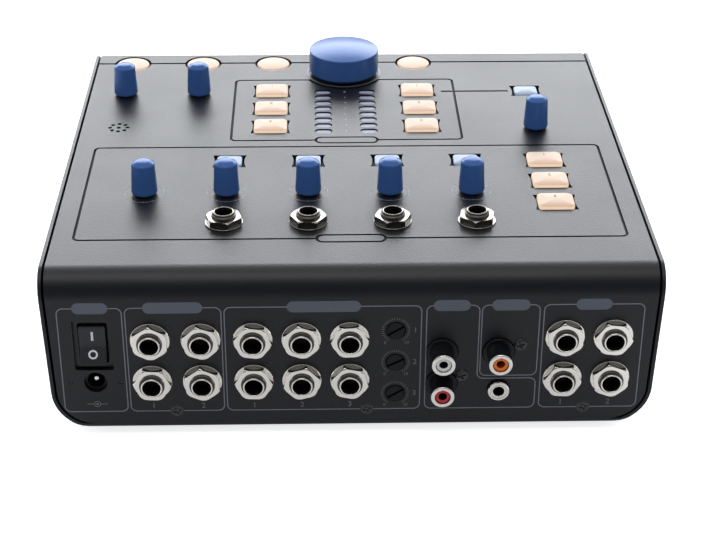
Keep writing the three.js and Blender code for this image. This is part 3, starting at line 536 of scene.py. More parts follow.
# Each: its colour and second tone, roughness from and to, grains per metre, relief, and the rest by name
PAINT = finish("panel_paint", (0.0062, 0.0067, 0.0098), (0.0072, 0.0077, 0.011), (0.39, 0.42), 1250, 0.75,
               level=0.335)
SHELL_PAINT = finish("shell_paint", (0.014, 0.0152, 0.02), (0.0158, 0.017, 0.0222), (0.36, 0.4), 1250, 0.6,
                     level=0.25)
LINE_BLACK = finish("engraved_line_black", (0.004, 0.004, 0.005), (0.006, 0.006, 0.008), (0.6, 0.7), 2500,
                    0.2, level=0.12)
COLLAR = finish("collar_satin", (0.05, 0.052, 0.058), (0.07, 0.073, 0.08), (0.34, 0.42), 2000, 0.05,
                metallic=0.35)
KNOB_BLUE = finish("knob_blue", (0.055, 0.142, 0.395), (0.06, 0.153, 0.42), (0.22, 0.27), 1800, 0.06,
                   metallic=0.04, wear=0.2, level=0.14)
# Both key finishes glow by painted emission, the far-leaning faces get a painted sheen, and the pale keys'
# walls a painted shade
PEACH = painted_glow_key_finish("key_peach", (0.62, 0.48, 0.36), (0.64, 0.48, 0.36), (0.66, 0.49, 0.36),
                   (0.14, 0.05, 0.02), (0.12, 0.12, 0.12))
# A dark peach for the keys' faces below the panel: painted shade of the opening
PEACH_PAINTED_SHADE = finish("key_peach_unlit", (0.11, 0.055, 0.035), (0.13, 0.065, 0.042), (0.5, 0.6), 900, 0.05,
                    level=0.12)
PALE = painted_glow_key_finish("key_pale", (0.42, 0.5, 0.62), (0.36, 0.44, 0.6), (0.12, 0.15, 0.21),
                  (0.0, 0.0, 0.005), (0.05, 0.055, 0.06))
LENS = finish("meter_lens", (0.32, 0.36, 0.475), (0.36, 0.4, 0.515), (0.45, 0.55), 1200, 0.03, level=0.2)
NICKEL = finish("nickel_plate", (0.7, 0.675, 0.625), (0.78, 0.755, 0.71), (0.09, 0.17), 1500, 0.02,
                metallic=1.0)
# A darker copy of the nickel for the sockets on the top: painted shade
SHADED_NICKEL = finish("nickel_plate_painted_shade", (0.215, 0.205, 0.185), (0.24, 0.229, 0.207), (0.18, 0.26), 1500,
                       0.02, metallic=1.0)
# A dark metal for the bare ends of the threads: a painted shadow
THREAD_SHADE = finish("thread_shadow", (0.055, 0.05, 0.042), (0.075, 0.068, 0.058), (0.3, 0.45), 2500, 0.3,
                metallic=0.7)
BLACK = finish("black_moulding", (0.0055, 0.006, 0.008), (0.0075, 0.008, 0.0105), (0.32, 0.42), 2200,
               wear=0.15, level=0.22)
TRIM_BLACK = finish("trimmer_black", (0.0045, 0.0052, 0.0068), (0.006, 0.0068, 0.0088), (0.4, 0.5), 2200, 0.1,
                    wear=0.1, level=0.2)
# A lighter black than the mouldings for the switch and its frame: painted light that lifts the shaded well
ROCKER_BLACK_PAINTED_LIGHT = finish("rocker_black_painted_light", (0.0175, 0.0182, 0.021), (0.02, 0.0208, 0.0235), (0.3, 0.4), 2200,
                      wear=0.15, level=0.35)
# Near black for the cups down the bores, in the insert holes and below the select keys: painted shade
BORE_SHADE = finish("socket_bore", (0.0025, 0.0025, 0.003), (0.004, 0.004, 0.0045), (0.5, 0.65), 2200, 0.05,
              level=0.1)
RUBBER = finish("foot_rubber", (0.018, 0.018, 0.018), (0.026, 0.026, 0.026), (0.75, 0.9), 1400, 0.3)
SCREW = finish("black_screw", (0.015, 0.0155, 0.0175), (0.022, 0.0225, 0.025), (0.2, 0.32), 2600, 0.1,
               wear=0.25)
BOARD = finish("solder_mask", (0.02, 0.12, 0.04), (0.03, 0.16, 0.06), (0.35, 0.5), 1200, 0.1)


def ink(name, colour, other, rough=(0.5, 0.6), bump=0.05):
    """A printed ink."""
    return finish(name, colour, other, rough, grain=3000, bump=bump)


LINE_INK = ink("line_ink", (0.2, 0.214, 0.244), (0.222, 0.236, 0.266))
PILL_INK = ink("pill_ink", (0.101, 0.12, 0.152), (0.112, 0.132, 0.165))
MARK_INK = ink("mark_ink", (0.165, 0.17, 0.18), (0.185, 0.19, 0.2))
PALE_INK = ink("pale_ink", (0.3, 0.32, 0.36), (0.36, 0.38, 0.42))
WHITE_INK = ink("white_ink", (0.8, 0.82, 0.85), (0.86, 0.88, 0.9), (0.4, 0.5), 0.03)
DARK_INK = ink("dark_ink", (0.16, 0.09, 0.07), (0.2, 0.12, 0.09), bump=0.03)
INSERTS = {tint: finish(f"insert_{tint}", colour, other, (0.3, 0.4), bump=0.03) for tint, colour, other in (
    ("white", (0.92, 0.92, 0.91), (0.95, 0.95, 0.94)), ("red", (0.58, 0.03, 0.05), (0.66, 0.04, 0.06)),
    ("orange", (0.94, 0.21, 0.018), (0.96, 0.24, 0.025)))}
# A dark orange for the cup in the orange insert's hole: painted shade
ORANGE_PAINTED_SHADE = finish("insert_orange_painted_shade", (0.3, 0.05, 0.003), (0.36, 0.06, 0.004), (0.5, 0.6), bump=0.03)


# Case

def half_width(z, inset):
    """Half the tub's width at a height: a drafted side, then a round lower corner."""
    radius = LOWER_CORNER - inset
    side = lambda h: HALF_WIDTH - inset - (TOP - h) * math.tan(DRAFT)
    centre_z = BASE + inset + radius
    centre_x = side(centre_z) - radius / math.cos(DRAFT)
    below = np.sqrt(np.maximum(radius ** 2 - (z - centre_z) ** 2, 0)) + centre_x
    return np.where(z < centre_z - radius * math.sin(DRAFT), below, side(z))


def corner_heights(inset, steps=14):
    """Heights that step evenly round the lower corner, from its bottom to its top."""
    radius = LOWER_CORNER - inset
    return BASE + inset + radius + radius * np.sin(np.linspace(-TAU / 4, -DRAFT, steps))


def sheet_part(steps=16):
    """The bent sheet. Its outer line in Y and Z is two uprights, the flat top and an arc at each bend. The
    inner line lies a sheet's thickness behind it. Each ring crosses the sheet, out along its face and back
    along its inner side."""
    feet = corner_heights(PANEL_INSET)
    upright = lambda y, heights: np.c_[np.full(len(heights), y), heights]
    first, second = np.linspace(TAU / 2, TAU / 4, steps), np.linspace(TAU / 4, 0, steps)
    outer = np.vstack([
        upright(FRONT, feet),
        (FRONT + FRONT_BEND, TOP - FRONT_BEND) + polar(FRONT_BEND, first),
        (REAR - REAR_BEND, TOP - REAR_BEND) + polar(REAR_BEND, second),
        upright(REAR, feet[::-1])])
    angle = np.r_[np.full(len(feet), TAU / 2), first, second, np.zeros(len(feet))]
    inner = outer - polar(1.0, angle) * SHEET
    wide = half_width(outer[:, 1], PANEL_INSET)
    corners = [(-wide, outer), (wide, outer), (wide, inner), (-wide, inner)]
    return loft(np.stack([np.column_stack(corner) for corner in corners], 1), "strip")


def tub_part(steps=12):
    """A channel carried from front to rear: each ring runs down one side, across the floor and up the other,
    and back inside. The top edge follows the sheet's bends, the foot the heel's arc."""
    ends = np.r_[1 - np.cos(np.linspace(0, TAU / 4, steps)), [1]]
    rear_y = REAR - np.unique(np.r_[HEEL * ends, REAR_BEND * ends].round(4))
    front_y = FRONT + np.unique(np.r_[HEEL * ends, FRONT_BEND * ends].round(4))
    arc_height = lambda radius, reach: math.sqrt(max(radius ** 2 - max(radius - reach, 0) ** 2, 0))
    rings = []
    for y in np.r_[front_y, rear_y[::-1]]:
        bend, reach = (REAR_BEND, REAR - y) if y > 0 else (FRONT_BEND, y - FRONT)
        top = TOP - bend + arc_height(bend, reach)
        foot = BASE + HEEL - arc_height(HEEL, reach)
        walls = []
        for inset in (0.0, WALL):
            corner = corner_heights(inset)[::-1]
            heights = np.r_[np.linspace(top, corner[0], 4)[:-1], corner]
            x = half_width(heights, inset)
            left = np.c_[-x, np.full(len(x), y), np.maximum(heights, foot + inset * 0.1)]
            walls.append(np.vstack([left, left[::-1] * (-1, 1, 1)]))
        rings.append(np.vstack([walls[0], walls[1][::-1]]))
    return loft(rings, "strip")


def key_opening(node, kind):
    """A key's opening: two straight long sides and two short ends that curve in to the key."""
    half = kind["half"] + kind["gap"]
    t = np.linspace(-1, 1, 11)
    right = np.c_[half[0] - OPENING_PINCH * (1 - t ** 2), t * half[1]]
    return np.vstack([right, -right]) + middle(node)[:2]


def box_path(half, near, far, notch=0.0):
    """An engraved box from one end of its pill to the other. With a notch, the far line leaves its row at the
    notch's circle and follows it round the near side of the main knob."""
    near_y, far_y = row_y(near), row_y(far)
    start = [(PILL_HALF + GROOVE_WIDTH / 4, near_y), (half, near_y, BOX_CORNER), (half, far_y, BOX_CORNER)]
    if not notch:
        return rounded(start + [(-half, far_y, BOX_CORNER), (-half, near_y, BOX_CORNER),
                                (-PILL_HALF - GROOVE_WIDTH / 4, near_y)])
    rise = far_y - KNOB_Y
    reach = math.sqrt(notch ** 2 - rise ** 2)
    first = math.atan2(rise, reach)
    circle = (KNOB_X, KNOB_Y) + polar(notch, np.linspace(first, TAU / 2 - first, 25))
    right = rounded(start + [(reach, far_y)])
    left = right[::-1] * (-1, 1)
    return np.vstack([right[:-1], circle, left[1:]])


def pill_path(row):
    """The outline of an engraved pill."""
    outline = rounded_rectangle(2 * PILL_HALF, PILL_HEIGHT, PILL_HEIGHT / 2 - 0.1, steps=12)
    return outline + (0, row_y(row))


def strip(x1, x2, row):
    """A straight engraved line along a row."""
    return band([(x1, row_y(row)), (x2, row_y(row))], STRIP_WIDTH, LINE_LOW, LINE_HIGH, closed=False)


def front_line_parts():
    """The front line from key to key, and from the last key to the panel's edge."""
    reach = ROUND["radius"] + ROUND["gap"] - 0.3
    edge = HALF_WIDTH + 1
    stops = [middle(k)[0] + side * reach for k in ROUND_KEYS for side in (-1, 1)]
    stops = sorted(stops + [-edge, -FRONT_LINE_GAP, FRONT_LINE_GAP, edge])
    return [strip(a, b, FRONT_LINE_ROW) for a, b in zip(stops[::2], stops[1::2])]


def groove_groups():
    """Cutters of the engraved lines, in groups whose own parts don't meet."""
    line = lambda path, closed=False: band(path, GROOVE_WIDTH, LINE_LOW, LINE_HIGH, closed)
    return [
        [line(box_path(**PHONES_BOX)), line(box_path(**LEVEL_BOX, notch=NOTCH_RADIUS))],
        [strip(LINK["start"], LINK["end"], LINK["row"])],
        [line(pill_path(box["near"]), True) for box in (PHONES_BOX, LEVEL_BOX)],
        front_line_parts(),
    ]


def top_opening_parts():
    """The cutters of the openings in the top."""
    through = (TOP - SHEET - 1, TOP + 1)
    parts = [prism(key_opening(k, WIDE), *through) for k in WIDE_KEYS]
    parts += [prism(key_opening(k, SELECT), *through) for k in SELECT_KEYS]
    hole = lambda spot, radius, n=48: prism(disc_outline(radius, n) + spot, *through)
    holes = ((ROUND_KEYS, ROUND["radius"] + ROUND["gap"]), (SMALL_KNOBS + ["main_knob"], SHAFT_HOLE),
             (PHONES, BUSHING_RADIUS + HOLE_SLACK))
    parts += [hole(middle(name)[:2], radius) for names, radius in holes for name in names]
    slot = rounded_rectangle(METER["width"], METER["height"], METER["height"] / 2 - 0.1, 6)
    parts += [prism(slot + spot, *through) for spot in METER_SPOTS]
    spots = np.vstack([(0, 0), disc_outline(MICROPHONE["ring"], 8)])
    spots = (middle("talkback_knob")[0], row_y(MICROPHONE["row"])) + spots
    return parts + [hole(spot, MICROPHONE["hole"], 20) for spot in spots]


def rear_opening_parts():
    """The cutters of the openings in the socket panel."""
    opening = lambda outline, spot: to_rear(prism(outline, -SHEET - 1, 1), *spot)
    inlet = rear_spot("power_inlet")
    holes = [(BUSHING_RADIUS + HOLE_SLACK, (middle(pair)[0], z)) for pair in PAIRS for z in SOCKET_ROWS]
    holes += [(3.5, rear_spot(trimmer)) for trimmer in TRIMS] + [(5.9, place[:2]) for place in PHONOS]
    holes += [(4.15, rear_spot("mini_jack")), (4.1, inlet)]
    parts = [opening(disc_outline(radius), spot) for radius, spot in holes]
    parts += [opening(disc_outline(0.7, 20), (inlet[0] + side * RIVET_REACH, inlet[1])) for side in (-1, 1)]
    return parts + [opening(rounded_rectangle(13.5, 20.3, 0.9), (inlet[0], middle("power_rocker")[2]))]


def build_case():
    """The panel, the tub and the feet. A face of the flat top is an engraved line's, and black, where its
    middle lies between the depth of the lines and the top."""
    panel = carved("control_panel", sheet_part(),
                   [top_opening_parts(), rear_opening_parts(), *groove_groups()], bevel=0.09)
    panel = piece("control_panel", panel, PAINT, ["top_panel"])
    second_material(panel, LINE_BLACK, lambda at: (at[:, 2] > LINE_LOW - 0.02) & (at[:, 2] < TOP - 0.12)
                    & (at[:, 1] < REAR - REAR_BEND))
    piece("lower_shell", tub_part(), SHELL_PAINT, ["bottom_shell"])
    foot = lathe([(0, 0), (6.5, 0, 1.0), (6.5, 3.0), (2.0, 3.0), (2.0, 5.4, 0.3), (0, 5.4)])
    for i in (1, 2, 3, 4):
        x, y, _ = middle(f"foot_{i}")
        piece(f"foot_pad_{i}", moved(foot, x, y), RUBBER, [f"foot_{i}"])


# Controls

def build_knobs():
    """Turned knobs on their shafts. The main knob's dome is the apex less the dome's height times the square
    of the share of the radius. Its collar is a ring with a rounded section."""
    small = lathe([(0, SHAFT_FOOT), (3, SHAFT_FOOT, 0.2), (3, 0.7), (4.6, 0.7, 0.2), (4.88, 1.3, 0.3),
                   (4.3, 12.45, 0.8), (2.5, 13.5, 2.8), (0, 13.8)], 72, steps=8)
    for name in SMALL_KNOBS:
        piece(f"{name}_cap", on_top(small, name), KNOB_BLUE, [name], name, sharp_angle=40)
    dome = [(r, MAIN_APEX - MAIN_DOME * (r / MAIN_RADIUS) ** 2) for r in (12, 10, 8, 6, 4, 2, 0)]
    large = lathe([(0, SHAFT_FOOT), (3, SHAFT_FOOT, 0.2), (3, 0.9), (13.7, 0.9, 0.2), (MAIN_RADIUS, 1.9, 0.5),
                   (MAIN_RADIUS, MAIN_APEX - MAIN_DOME, 0.45), *dome], 128, steps=8)
    piece("main_knob_cap", on_top(large, "main_knob"), KNOB_BLUE, ["main_knob"], "main_knob",
          sharp_angle=40)
    collar = turned(rounded_rectangle(0.85, 0.8, 0.2, 4) + (15.3, -0.1), 128, "joined")
    piece("knob_ring", on_top(collar, "main_knob"), COLLAR, replaced=["knob_collar"])


def crown_height(proud, share):
    """Height of a key's face a share of the way from its shoulder to its middle: the crown times one less the
    square of what is left."""
    return proud - KEY_CROWN + KEY_CROWN * (1 - (1 - share) ** 2)


def key_layers(proud, span):
    """Insets and heights of a key: a straight wall, a quarter arc as its shoulder, and a crowned face that
    closes in over the span."""
    angle = np.linspace(0, TAU / 4, 7)
    foot = proud - KEY_CROWN - KEY_SHOULDER
    return [(0, KEY_FOOT), (0, -LIT_DEPTH),
            *((KEY_SHOULDER * (1 - math.cos(a)), foot + KEY_SHOULDER * math.sin(a)) for a in angle),
            *((KEY_SHOULDER + s * span, crown_height(proud, s)) for s in CROWN_SHARES)]


def build_key(name, cap, lip, lit, unlit, slot):
    """A cap, a lip under the sheet and a stem. Below the lit depth the faces take the second finish, a
    painted shade of the opening.
    """
    stem = moved(cuboid((-2, -2, 0), (2, 2, 4.3)), z=-SHEET - 5.6)
    key = on_top(together([cap, lip, stem]), name)
    mesh = piece(f"{name}_cap", key, lit, [name], name, sharp_angle=45)
    second_material(mesh, unlit, lambda at: at[:, 2] < TOP - LIT_DEPTH - 0.1)


def face_span(kind):
    """How far the face of a rectangular key closes in."""
    return kind["half"][1] - 2 * KEY_SHOULDER + 0.1


def build_keys():
    """The rectangular keys, then the round ones."""
    for names, kind, *finishes in ((WIDE_KEYS, WIDE, PEACH, PEACH_PAINTED_SHADE, "key_peach"),
                                   (SELECT_KEYS, SELECT, PALE, BORE_SHADE, "key_white")):
        cap = pillow(*(2 * kind["half"]), kind["corner"], key_layers(kind["proud"], face_span(kind)))
        lip = rounded_rectangle(*(2 * (kind["half"] + kind["gap"] + 0.9)), kind["corner"])
        for name in names:
            build_key(name, cap, prism(lip, *KEY_LIP), *finishes)
    radius = ROUND["radius"]
    cap = turned([(0, KEY_FOOT), *((radius - inset, height) for inset, height in
                                   key_layers(ROUND["proud"], radius - KEY_SHOULDER))])
    lip = prism(disc_outline(ROUND["lip"], 64), *KEY_LIP)
    for name in ROUND_KEYS:
        build_key(name, cap, lip, PEACH, PEACH_PAINTED_SHADE, "key_peach")


def build_meter():
    """The light pipes of the meter on one plate."""
    pipe = pillow(METER["width"] - 0.4, METER["height"] - 0.3, METER["height"] / 2 - 0.35,
                  [(0, KEY_FOOT), (0, -0.7), (0.12, -0.52), (0.35, -0.44), (0.9, -0.4)])
    plate = cuboid(*((*corner[:2], TOP + z) for corner, z in zip(box_mm("meter_lens"), KEY_LIP)))
    pipes = [moved(pipe, x, y, TOP) for x, y in METER_SPOTS]
    piece("meter_light_pipes", together([*pipes, plate]), LENS, ["meter_lens"])


# Sockets

def nut_part(segments=96):
    """A hexagon nut: each ring's radius is the smaller of a hexagon's, flats / 2 / cos(angle from the flat's
    middle), and a limit that narrows to the nut's top and then to its bore."""
    angle = round_angles(segments)
    from_flat = np.mod(angle + TAU / 12, TAU / 6) - TAU / 12
    bore = BUSHING_RADIUS + 0.12
    levels = np.r_[[0.6, 0.6, 0.68], NUT_TOP - np.array([0.62, 0.42, 0.26, 0.14, 0.05, 0.0]),
                   [NUT_TOP, NUT_TOP - 0.5]]
    limits = np.array([bore, 6.6, 7.2, 7.2, 6.80, 6.56, 6.40, 6.28, 6.12, bore, bore])
    radius = np.minimum(NUT_FLATS / 2 / np.cos(from_flat), limits[:, None])
    return loft(around(radius, levels, angle), "joined")


def bushing_part():
    """The washer and the bushing on one profile: a thin disc, a wall, a chamfer and a round rim that turns
    into the bore."""
    wall, disc = BUSHING_RADIUS, WASHER_RADIUS
    thick = (LIP_RADIUS - SOCKET_BORE) / 2
    lip = ((SOCKET_BORE + LIP_RADIUS) / 2, SOCKET_RIM - thick) + polar(thick, np.linspace(0, TAU / 2, 9))
    return turned([
        (AXIS, -1.8), (wall, -1.8), (wall, 0.05), (disc - 0.1, 0.05), (disc, 0.15), (disc, 0.42),
        (disc - 0.1, 0.52), (wall, 0.52), (wall, 3.55), (wall - 0.15, 3.7), (4.0, 3.8), (3.85, 3.95),
        *lip, (SOCKET_BORE, -SOCKET_DEPTH + 1), (AXIS, -SOCKET_DEPTH)], 72)


def socket_part(turn):
    """A socket's metal, its nut turned by a share of a twelfth of a turn."""
    return together([bushing_part(), spun(nut_part(), turn * TAU / 12)])


def cup_part(outer, inner, top, floor, foot, segments=48):
    """A turned cup: a wall between two radii up to its top, and a floor down to its foot."""
    profile = [(AXIS, foot), (outer, foot), (outer, top), (inner, top), (inner, floor), (AXIS, floor)]
    return turned(profile, segments)


def bore_shade_part():
    """A thin dark cup down the bore, closed by a floor: painted shade of the bore."""
    radius = SOCKET_BORE - 0.05
    return cup_part(radius, radius - 0.25, SOCKET_RIM - 0.9, -SOCKET_DEPTH + 0.4, -SOCKET_DEPTH - 0.5)


def paint_thread_shade(mesh, axes, along, face):
    """Painted shade on the bare end of each thread: the faces above the nut whose distance from the nearest
    axis lies between the rim and the thread take a dark metal."""
    def bare(at):
        across = np.delete(at, along, axis=1)[:, None] - np.array(axes)
        radius = np.linalg.norm(across, axis=2).min(axis=1)
        above = at[:, along] > face + NUT_TOP - 0.3
        return above & (radius > THREAD_RIM) & (radius < BUSHING_RADIUS + 0.05)
    second_material(mesh, THREAD_SHADE, bare)


def build_housing(name, node, axis=1, face=REAR):
    """The moulded body of a socket fills its node's box up to the sheet."""
    low, high = box_mm(node)
    high[axis] = face - SHEET - CLEARANCE
    piece(f"{name}_housing", cuboid(low, high), BLACK)


def build_sockets():
    """The quarter-inch sockets of the top, then the rear ones in pairs."""
    for i, name in enumerate(PHONES):
        x, y, _ = middle(name)
        metal = piece(f"{name}_metal", on_top(socket_part(0.5 + 0.4 * i), name), SHADED_NICKEL,
                      [name], sharp_angle=25)
        paint_thread_shade(metal, [(x, y)], 2, TOP)
        piece(f"{name}_bore", on_top(bore_shade_part(), name), BORE_SHADE)
        build_housing(name, name, 2, TOP)
    for name, turns in zip(PAIRS, NUT_TURNS):
        spots = [(middle(name)[0], z) for z in SOCKET_ROWS]
        metal = together([to_rear(socket_part(turn), *spot) for turn, spot in zip(turns, spots)])
        metal = piece(f"{name}_metal", metal, NICKEL, [name], sharp_angle=25)
        paint_thread_shade(metal, spots, 1, REAR)
        bores = together([to_rear(bore_shade_part(), *spot) for spot in spots])
        piece(f"{name}_bores", bores, BORE_SHADE)
        build_housing(name, name)


def build_phonos():
    """Phono sockets, each a keyed sleeve on a barrel with a tinted insert, and the small socket."""
    boss = lathe([(AXIS, -1.8), (5.6, -1.8), (5.6, 0.9, 0.3), (4.2, 0.9), (4.2, 0.4), (AXIS, 0.4)])
    barrel = lathe([(AXIS, -0.5), (4.1, -0.5), (4.1, 8.1, 0.1), (2.85, 8.1), (2.85, 1.0), (AXIS, 1.0)], 72)
    sleeve = lathe([(2.8, 1.2), (2.86, 8.15), (4.15, 8.15, 0.1), (4.15, 9.0, 0.45), (2.85, 9.0, 0.12),
                    (2.7, 7.9), (2.65, 1.2), (2.8, 1.2)], 72)
    keyway = cuboid((-0.3, 2.4, 8.55), (0.3, 3.75, 9.5))
    insert = lathe([(1.5, 2.0), (2.6, 2.0), (2.6, 8.35, 0.15), (2.0, 8.55, 0.3), (1.62, 8.45, 0.12),
                    (1.5, 8.2), (1.5, 2.0)])
    centre = cup_part(1.49, 1.42, 8.1, 2.4, 1.6)
    for x, z, tint, stands_for in PHONOS:
        ring = carved(f"phono_sleeve_{tint}", to_rear(sleeve, x, z), [[to_rear(keyway, x, z)]])
        piece(f"phono_sleeve_{tint}", ring, NICKEL, stands_for)
        piece(f"phono_barrel_{tint}", to_rear(barrel, x, z), BLACK)
        piece(f"phono_boss_{tint}", to_rear(boss, x, z), BLACK)
        piece(f"phono_insert_{tint}", to_rear(insert, x, z), INSERTS[tint])
        # The cup in each insert's hole is painted shade: dark orange in the orange one, near black in the
        # others
        piece(f"phono_centre_{tint}", to_rear(centre, x, z), ORANGE_PAINTED_SHADE if tint == "orange" else BORE_SHADE)
        for owner in stands_for:
            build_housing(owner, owner)
    x, z = rear_spot("mini_jack")
    ring = lathe([(AXIS, -1.8), (3.85, -1.8), (3.85, 1.45, 0.15), (3.6, 1.7, 0.1), (3.1, 1.7, 0.1),
                  (2.95, 1.25, 0.05), (2.7, 1.25, 0.05), (2.55, 1.6, 0.1), (2.1, 1.6, 0.2), (1.8, 1.1),
                  (1.8, -9.0), (AXIS, -9.0)], steps=4)
    piece("mini_socket_ring", to_rear(ring, x, z), NICKEL, ["mini_jack"])
    # A dark cup down the small socket's bore: painted shade
    mini_bore_shade = to_rear(cup_part(1.75, 1.55, 1.2, -8.5, -8.9, 40), x, z)
    piece("mini_socket_bore", mini_bore_shade, BORE_SHADE)
    build_housing("mini_socket", "mini_jack")


def build_screw(name, x, z, proud, replaced=()):
    """A low domed head with a cross cut into it."""
    head = lathe([(AXIS, -7.9), (1.4, -7.9), (1.4, -1.2), (2.45, -0.1, 0.1), (2.3, proud, 0.4),
                  (1.2, proud + 0.25, 0.5), (AXIS, proud + 0.3)], 48)
    cross = [cuboid((-1.5, -0.28, -0.7), (1.5, 0.28, 2)), cuboid((-0.28, -1.5, -0.7), (0.28, 1.5, 2))]
    placed = lambda part: to_rear(spun(part, 0.4), x, z)
    mesh = carved(name, placed(head), [[placed(slot)] for slot in cross])
    piece(name, mesh, SCREW, replaced)


def build_rear_small_parts():
    """Screws, slotted trimmer shafts, and the power inlet with its pin and rivets."""
    for name in ("rear_screw_power", "rear_screw_middle", "rear_screw_input"):
        build_screw(f"{name}_head", *rear_spot(name), 0.15, [name])
    build_screw("phono_screw_1", -38.5, TOP - 40.85, 0.4)
    build_screw("phono_screw_2", -58.7, TOP - 28.3, 0.4)
    shaft = lathe([(AXIS, SHAFT_FOOT), (3.2, SHAFT_FOOT), (3.2, 0.4, 0.25), (AXIS, 0.4)])
    slot = cuboid((-4, -0.45, -0.6), (4, 0.45, 2))
    for name, turn in zip(TRIMS, (0.56, 0.48, 0.56)):
        placed = [to_rear(spun(part, turn), *rear_spot(name)) for part in (shaft, slot)]
        mesh = carved(name, placed[0], [placed[1:]])
        piece(f"{name}_shaft", mesh, TRIM_BLACK, replaced=[name], body=name)
    x, z = rear_spot("power_inlet")
    face = REAR - SHEET - CLEARANCE
    cup = cup_part(4.05, 3.1, -0.1, -8.6, -9.0)
    pin = lathe([(AXIS, -8.6), (1.0, -8.6), (1.0, -1.0, 0.4), (AXIS, -1.0)], 32)
    piece("inlet_cup", to_rear(cup, x, z, face), BLACK, replaced=["power_inlet"])
    piece("inlet_pin", to_rear(pin, x, z, face), NICKEL)
    rivet = lathe([(AXIS, -1.9), (0.62, -1.9), (0.62, -0.2, 0.3), (AXIS, 0.05)], 24)
    rivets = together([to_rear(rivet, x + side * RIVET_REACH, z) for side in (-1, 1)])
    piece("inlet_rivets", rivets, SCREW)


def rocker_part():
    """A rocker: its section, drawn along and out of the panel, has two faces that meet in a shallow round
    valley, and is carried across the width with its ends drawn in."""
    half, rise, body, reach = ROCKER_HALF, ROCKER_RISE, ROCKER_BODY, ROCKER_REACH
    line = rounded([
        (-half, 0), (-half, rise, 0.45), (0, ROCKER_VALLEY, 9.0), (half, rise, 0.45), (half, 0, 0.1),
        (half / 2, -body, 0.5), (-half / 2, -body, 0.5), (-half, 0)], steps=8)[:-1]
    centre = np.array([0, 0.3])
    places = np.array([-reach, -reach + 0.12, -reach + 0.45, reach - 0.45, reach - 0.12, reach])
    shares = np.array([0.955, 0.985, 1.0, 1.0, 0.985, 0.955])
    sections = centre + (line - centre)[None] * shares[:, None, None]
    across = np.broadcast_to(places[:, None, None], (len(places), len(line), 1))
    return loft(np.concatenate([across, sections], -1))


def build_rocker():
    """The frame behind the well, with a pocket that clears the rocker's swing. Then the rocker and its marks,
    tilted as it rests, with its upper end pressed in."""
    sweep = math.hypot(ROCKER_HALF, ROCKER_RISE) + 0.25
    pocket = prism(rounded_rectangle(2 * ROCKER_REACH + 0.9, 2 * sweep, 0.6), -12.5, 0)
    switch = carved("switch_frame", cuboid(*box_mm("rocker_switch_frame")),
                    [[to_rear(pocket, *rear_spot("power_rocker"))]], bevel=0.2)
    piece("switch_frame", switch, ROCKER_BLACK_PAINTED_LIGHT, replaced=["rocker_switch_frame"])
    joint = next(j for j in frame["joints"] if j["child"] == "power_rocker")
    pivot = np.array(joint["pos_m"]) / MM
    c, s = math.cos(ROCKER_TILT), math.sin(ROCKER_TILT)

    def seated(part):
        """The part turned about the pivot, out of and up along the panel."""
        points, faces = part
        x, y, z = points.T
        return pivot + np.c_[-x, z * c - y * s, y * c + z * s], faces

    piece("rocker", seated(rocker_part()), ROCKER_BLACK_PAINTED_LIGHT, replaced=["power_rocker"], body="power_rocker",
          sharp_angle=40)
    bar = cuboid((-0.4, 1.9, 0), (0.4, 5.4, 0.08))
    ring = band(disc_outline(1.35, 40) + (0, -3.3), 0.62, 0, 0.08, closed=True)
    points, faces = together([bar, ring])
    # The marks follow the sloping faces: the valley plus the slope times the distance from it
    points[:, 2] += ROCKER_VALLEY + np.abs(points[:, 1]) * math.tan(ROCKER_TILT)
    piece("rocker_marks", seated((points, faces)), WHITE_INK, body="power_rocker")


# Printing

def rear_outline(corners, radius=2.2):
    """A printed line on the socket panel with round corners, from its corner points in X and Z."""
    start = (np.array(corners[0]) + np.array(corners[-1])) / 2
    path = rounded([start, *((*corner, radius) for corner in corners), start], steps=7)[:-1]
    return to_rear(band(path * (-1, 1), LINE_WIDTH, 0.0, INK, closed=True), 0.0, 0.0)


def build_rear_print():
    """Boxes, pills, scales, digits and the sign of the inlet."""
    t, b = PRINT_TOP, PRINT_BOTTOM
    box = lambda x1, x2, low=b: [(x1, t), (x2, t), (x2, low), (x1, low)]
    step = TOP - 42.2
    outlines = [box(102.0, 79.7), box(78.6, 45.5), box(44.4, -23.8), box(-66.3, -101.1),
                box(-44.8, -64.8, TOP - 41.0),
                [(-25.6, t), (-43.9, t), (-43.9, step), (-64.7, step), (-64.7, b), (-25.6, b)]]
    piece("rear_box_lines", together([rear_outline(c) for c in outlines]), LINE_INK)
    pills = [(96.7, 84.3), (72.4, 51.8), (22.8, -2.8), (-27.9, -40.7), (-48.1, -61.3), (-77.2, -89.7)]
    pill = lambda x1, x2: rounded_rectangle(x1 - x2, PRINT_PILL, PRINT_PILL / 2 - 0.02, 10)
    plates = [to_rear(prism(pill(x1, x2), 0.0, 2 * INK), (x1 + x2) / 2, t) for x1, x2 in pills]
    piece("rear_pills", together(plates), PILL_INK)
    marks = []
    tick = cuboid((4.25, -0.09, 0), (5.05, 0.09, INK))
    for name, number in zip(TRIMS, "123"):
        x, z = rear_spot(name)
        marks += [to_rear(spun(tick, angle), x, z) for angle in np.radians(np.linspace(-55, 235, 30))]
        labels = (("0", 1.7, 3.7, -5.0), ("10", 1.7, -3.7, -5.0), (number, 3.0, -6.8, 0))
        marks += [to_rear(text_part(digits, size), x + side, z + up) for digits, size, side, up in labels]
    for pair, number in zip(PAIRS, "1212312"):
        marks.append(to_rear(text_part(number, 3.2), middle(pair)[0], SOCKET_ROWS[1] - 10.3))
    sign = [band(disc_outline(1.1, 32), 0.25, 0.0, INK, closed=True), prism(disc_outline(0.45, 24), 0, INK),
            *(cuboid((x, -0.12, 0), (x + 2.4, 0.12, INK)) for x in (-3.6, 1.2))]
    marks += [to_rear(part, middle("power_inlet")[0], TOP - 51.5) for part in sign]
    piece("rear_marks", together(marks), MARK_INK)


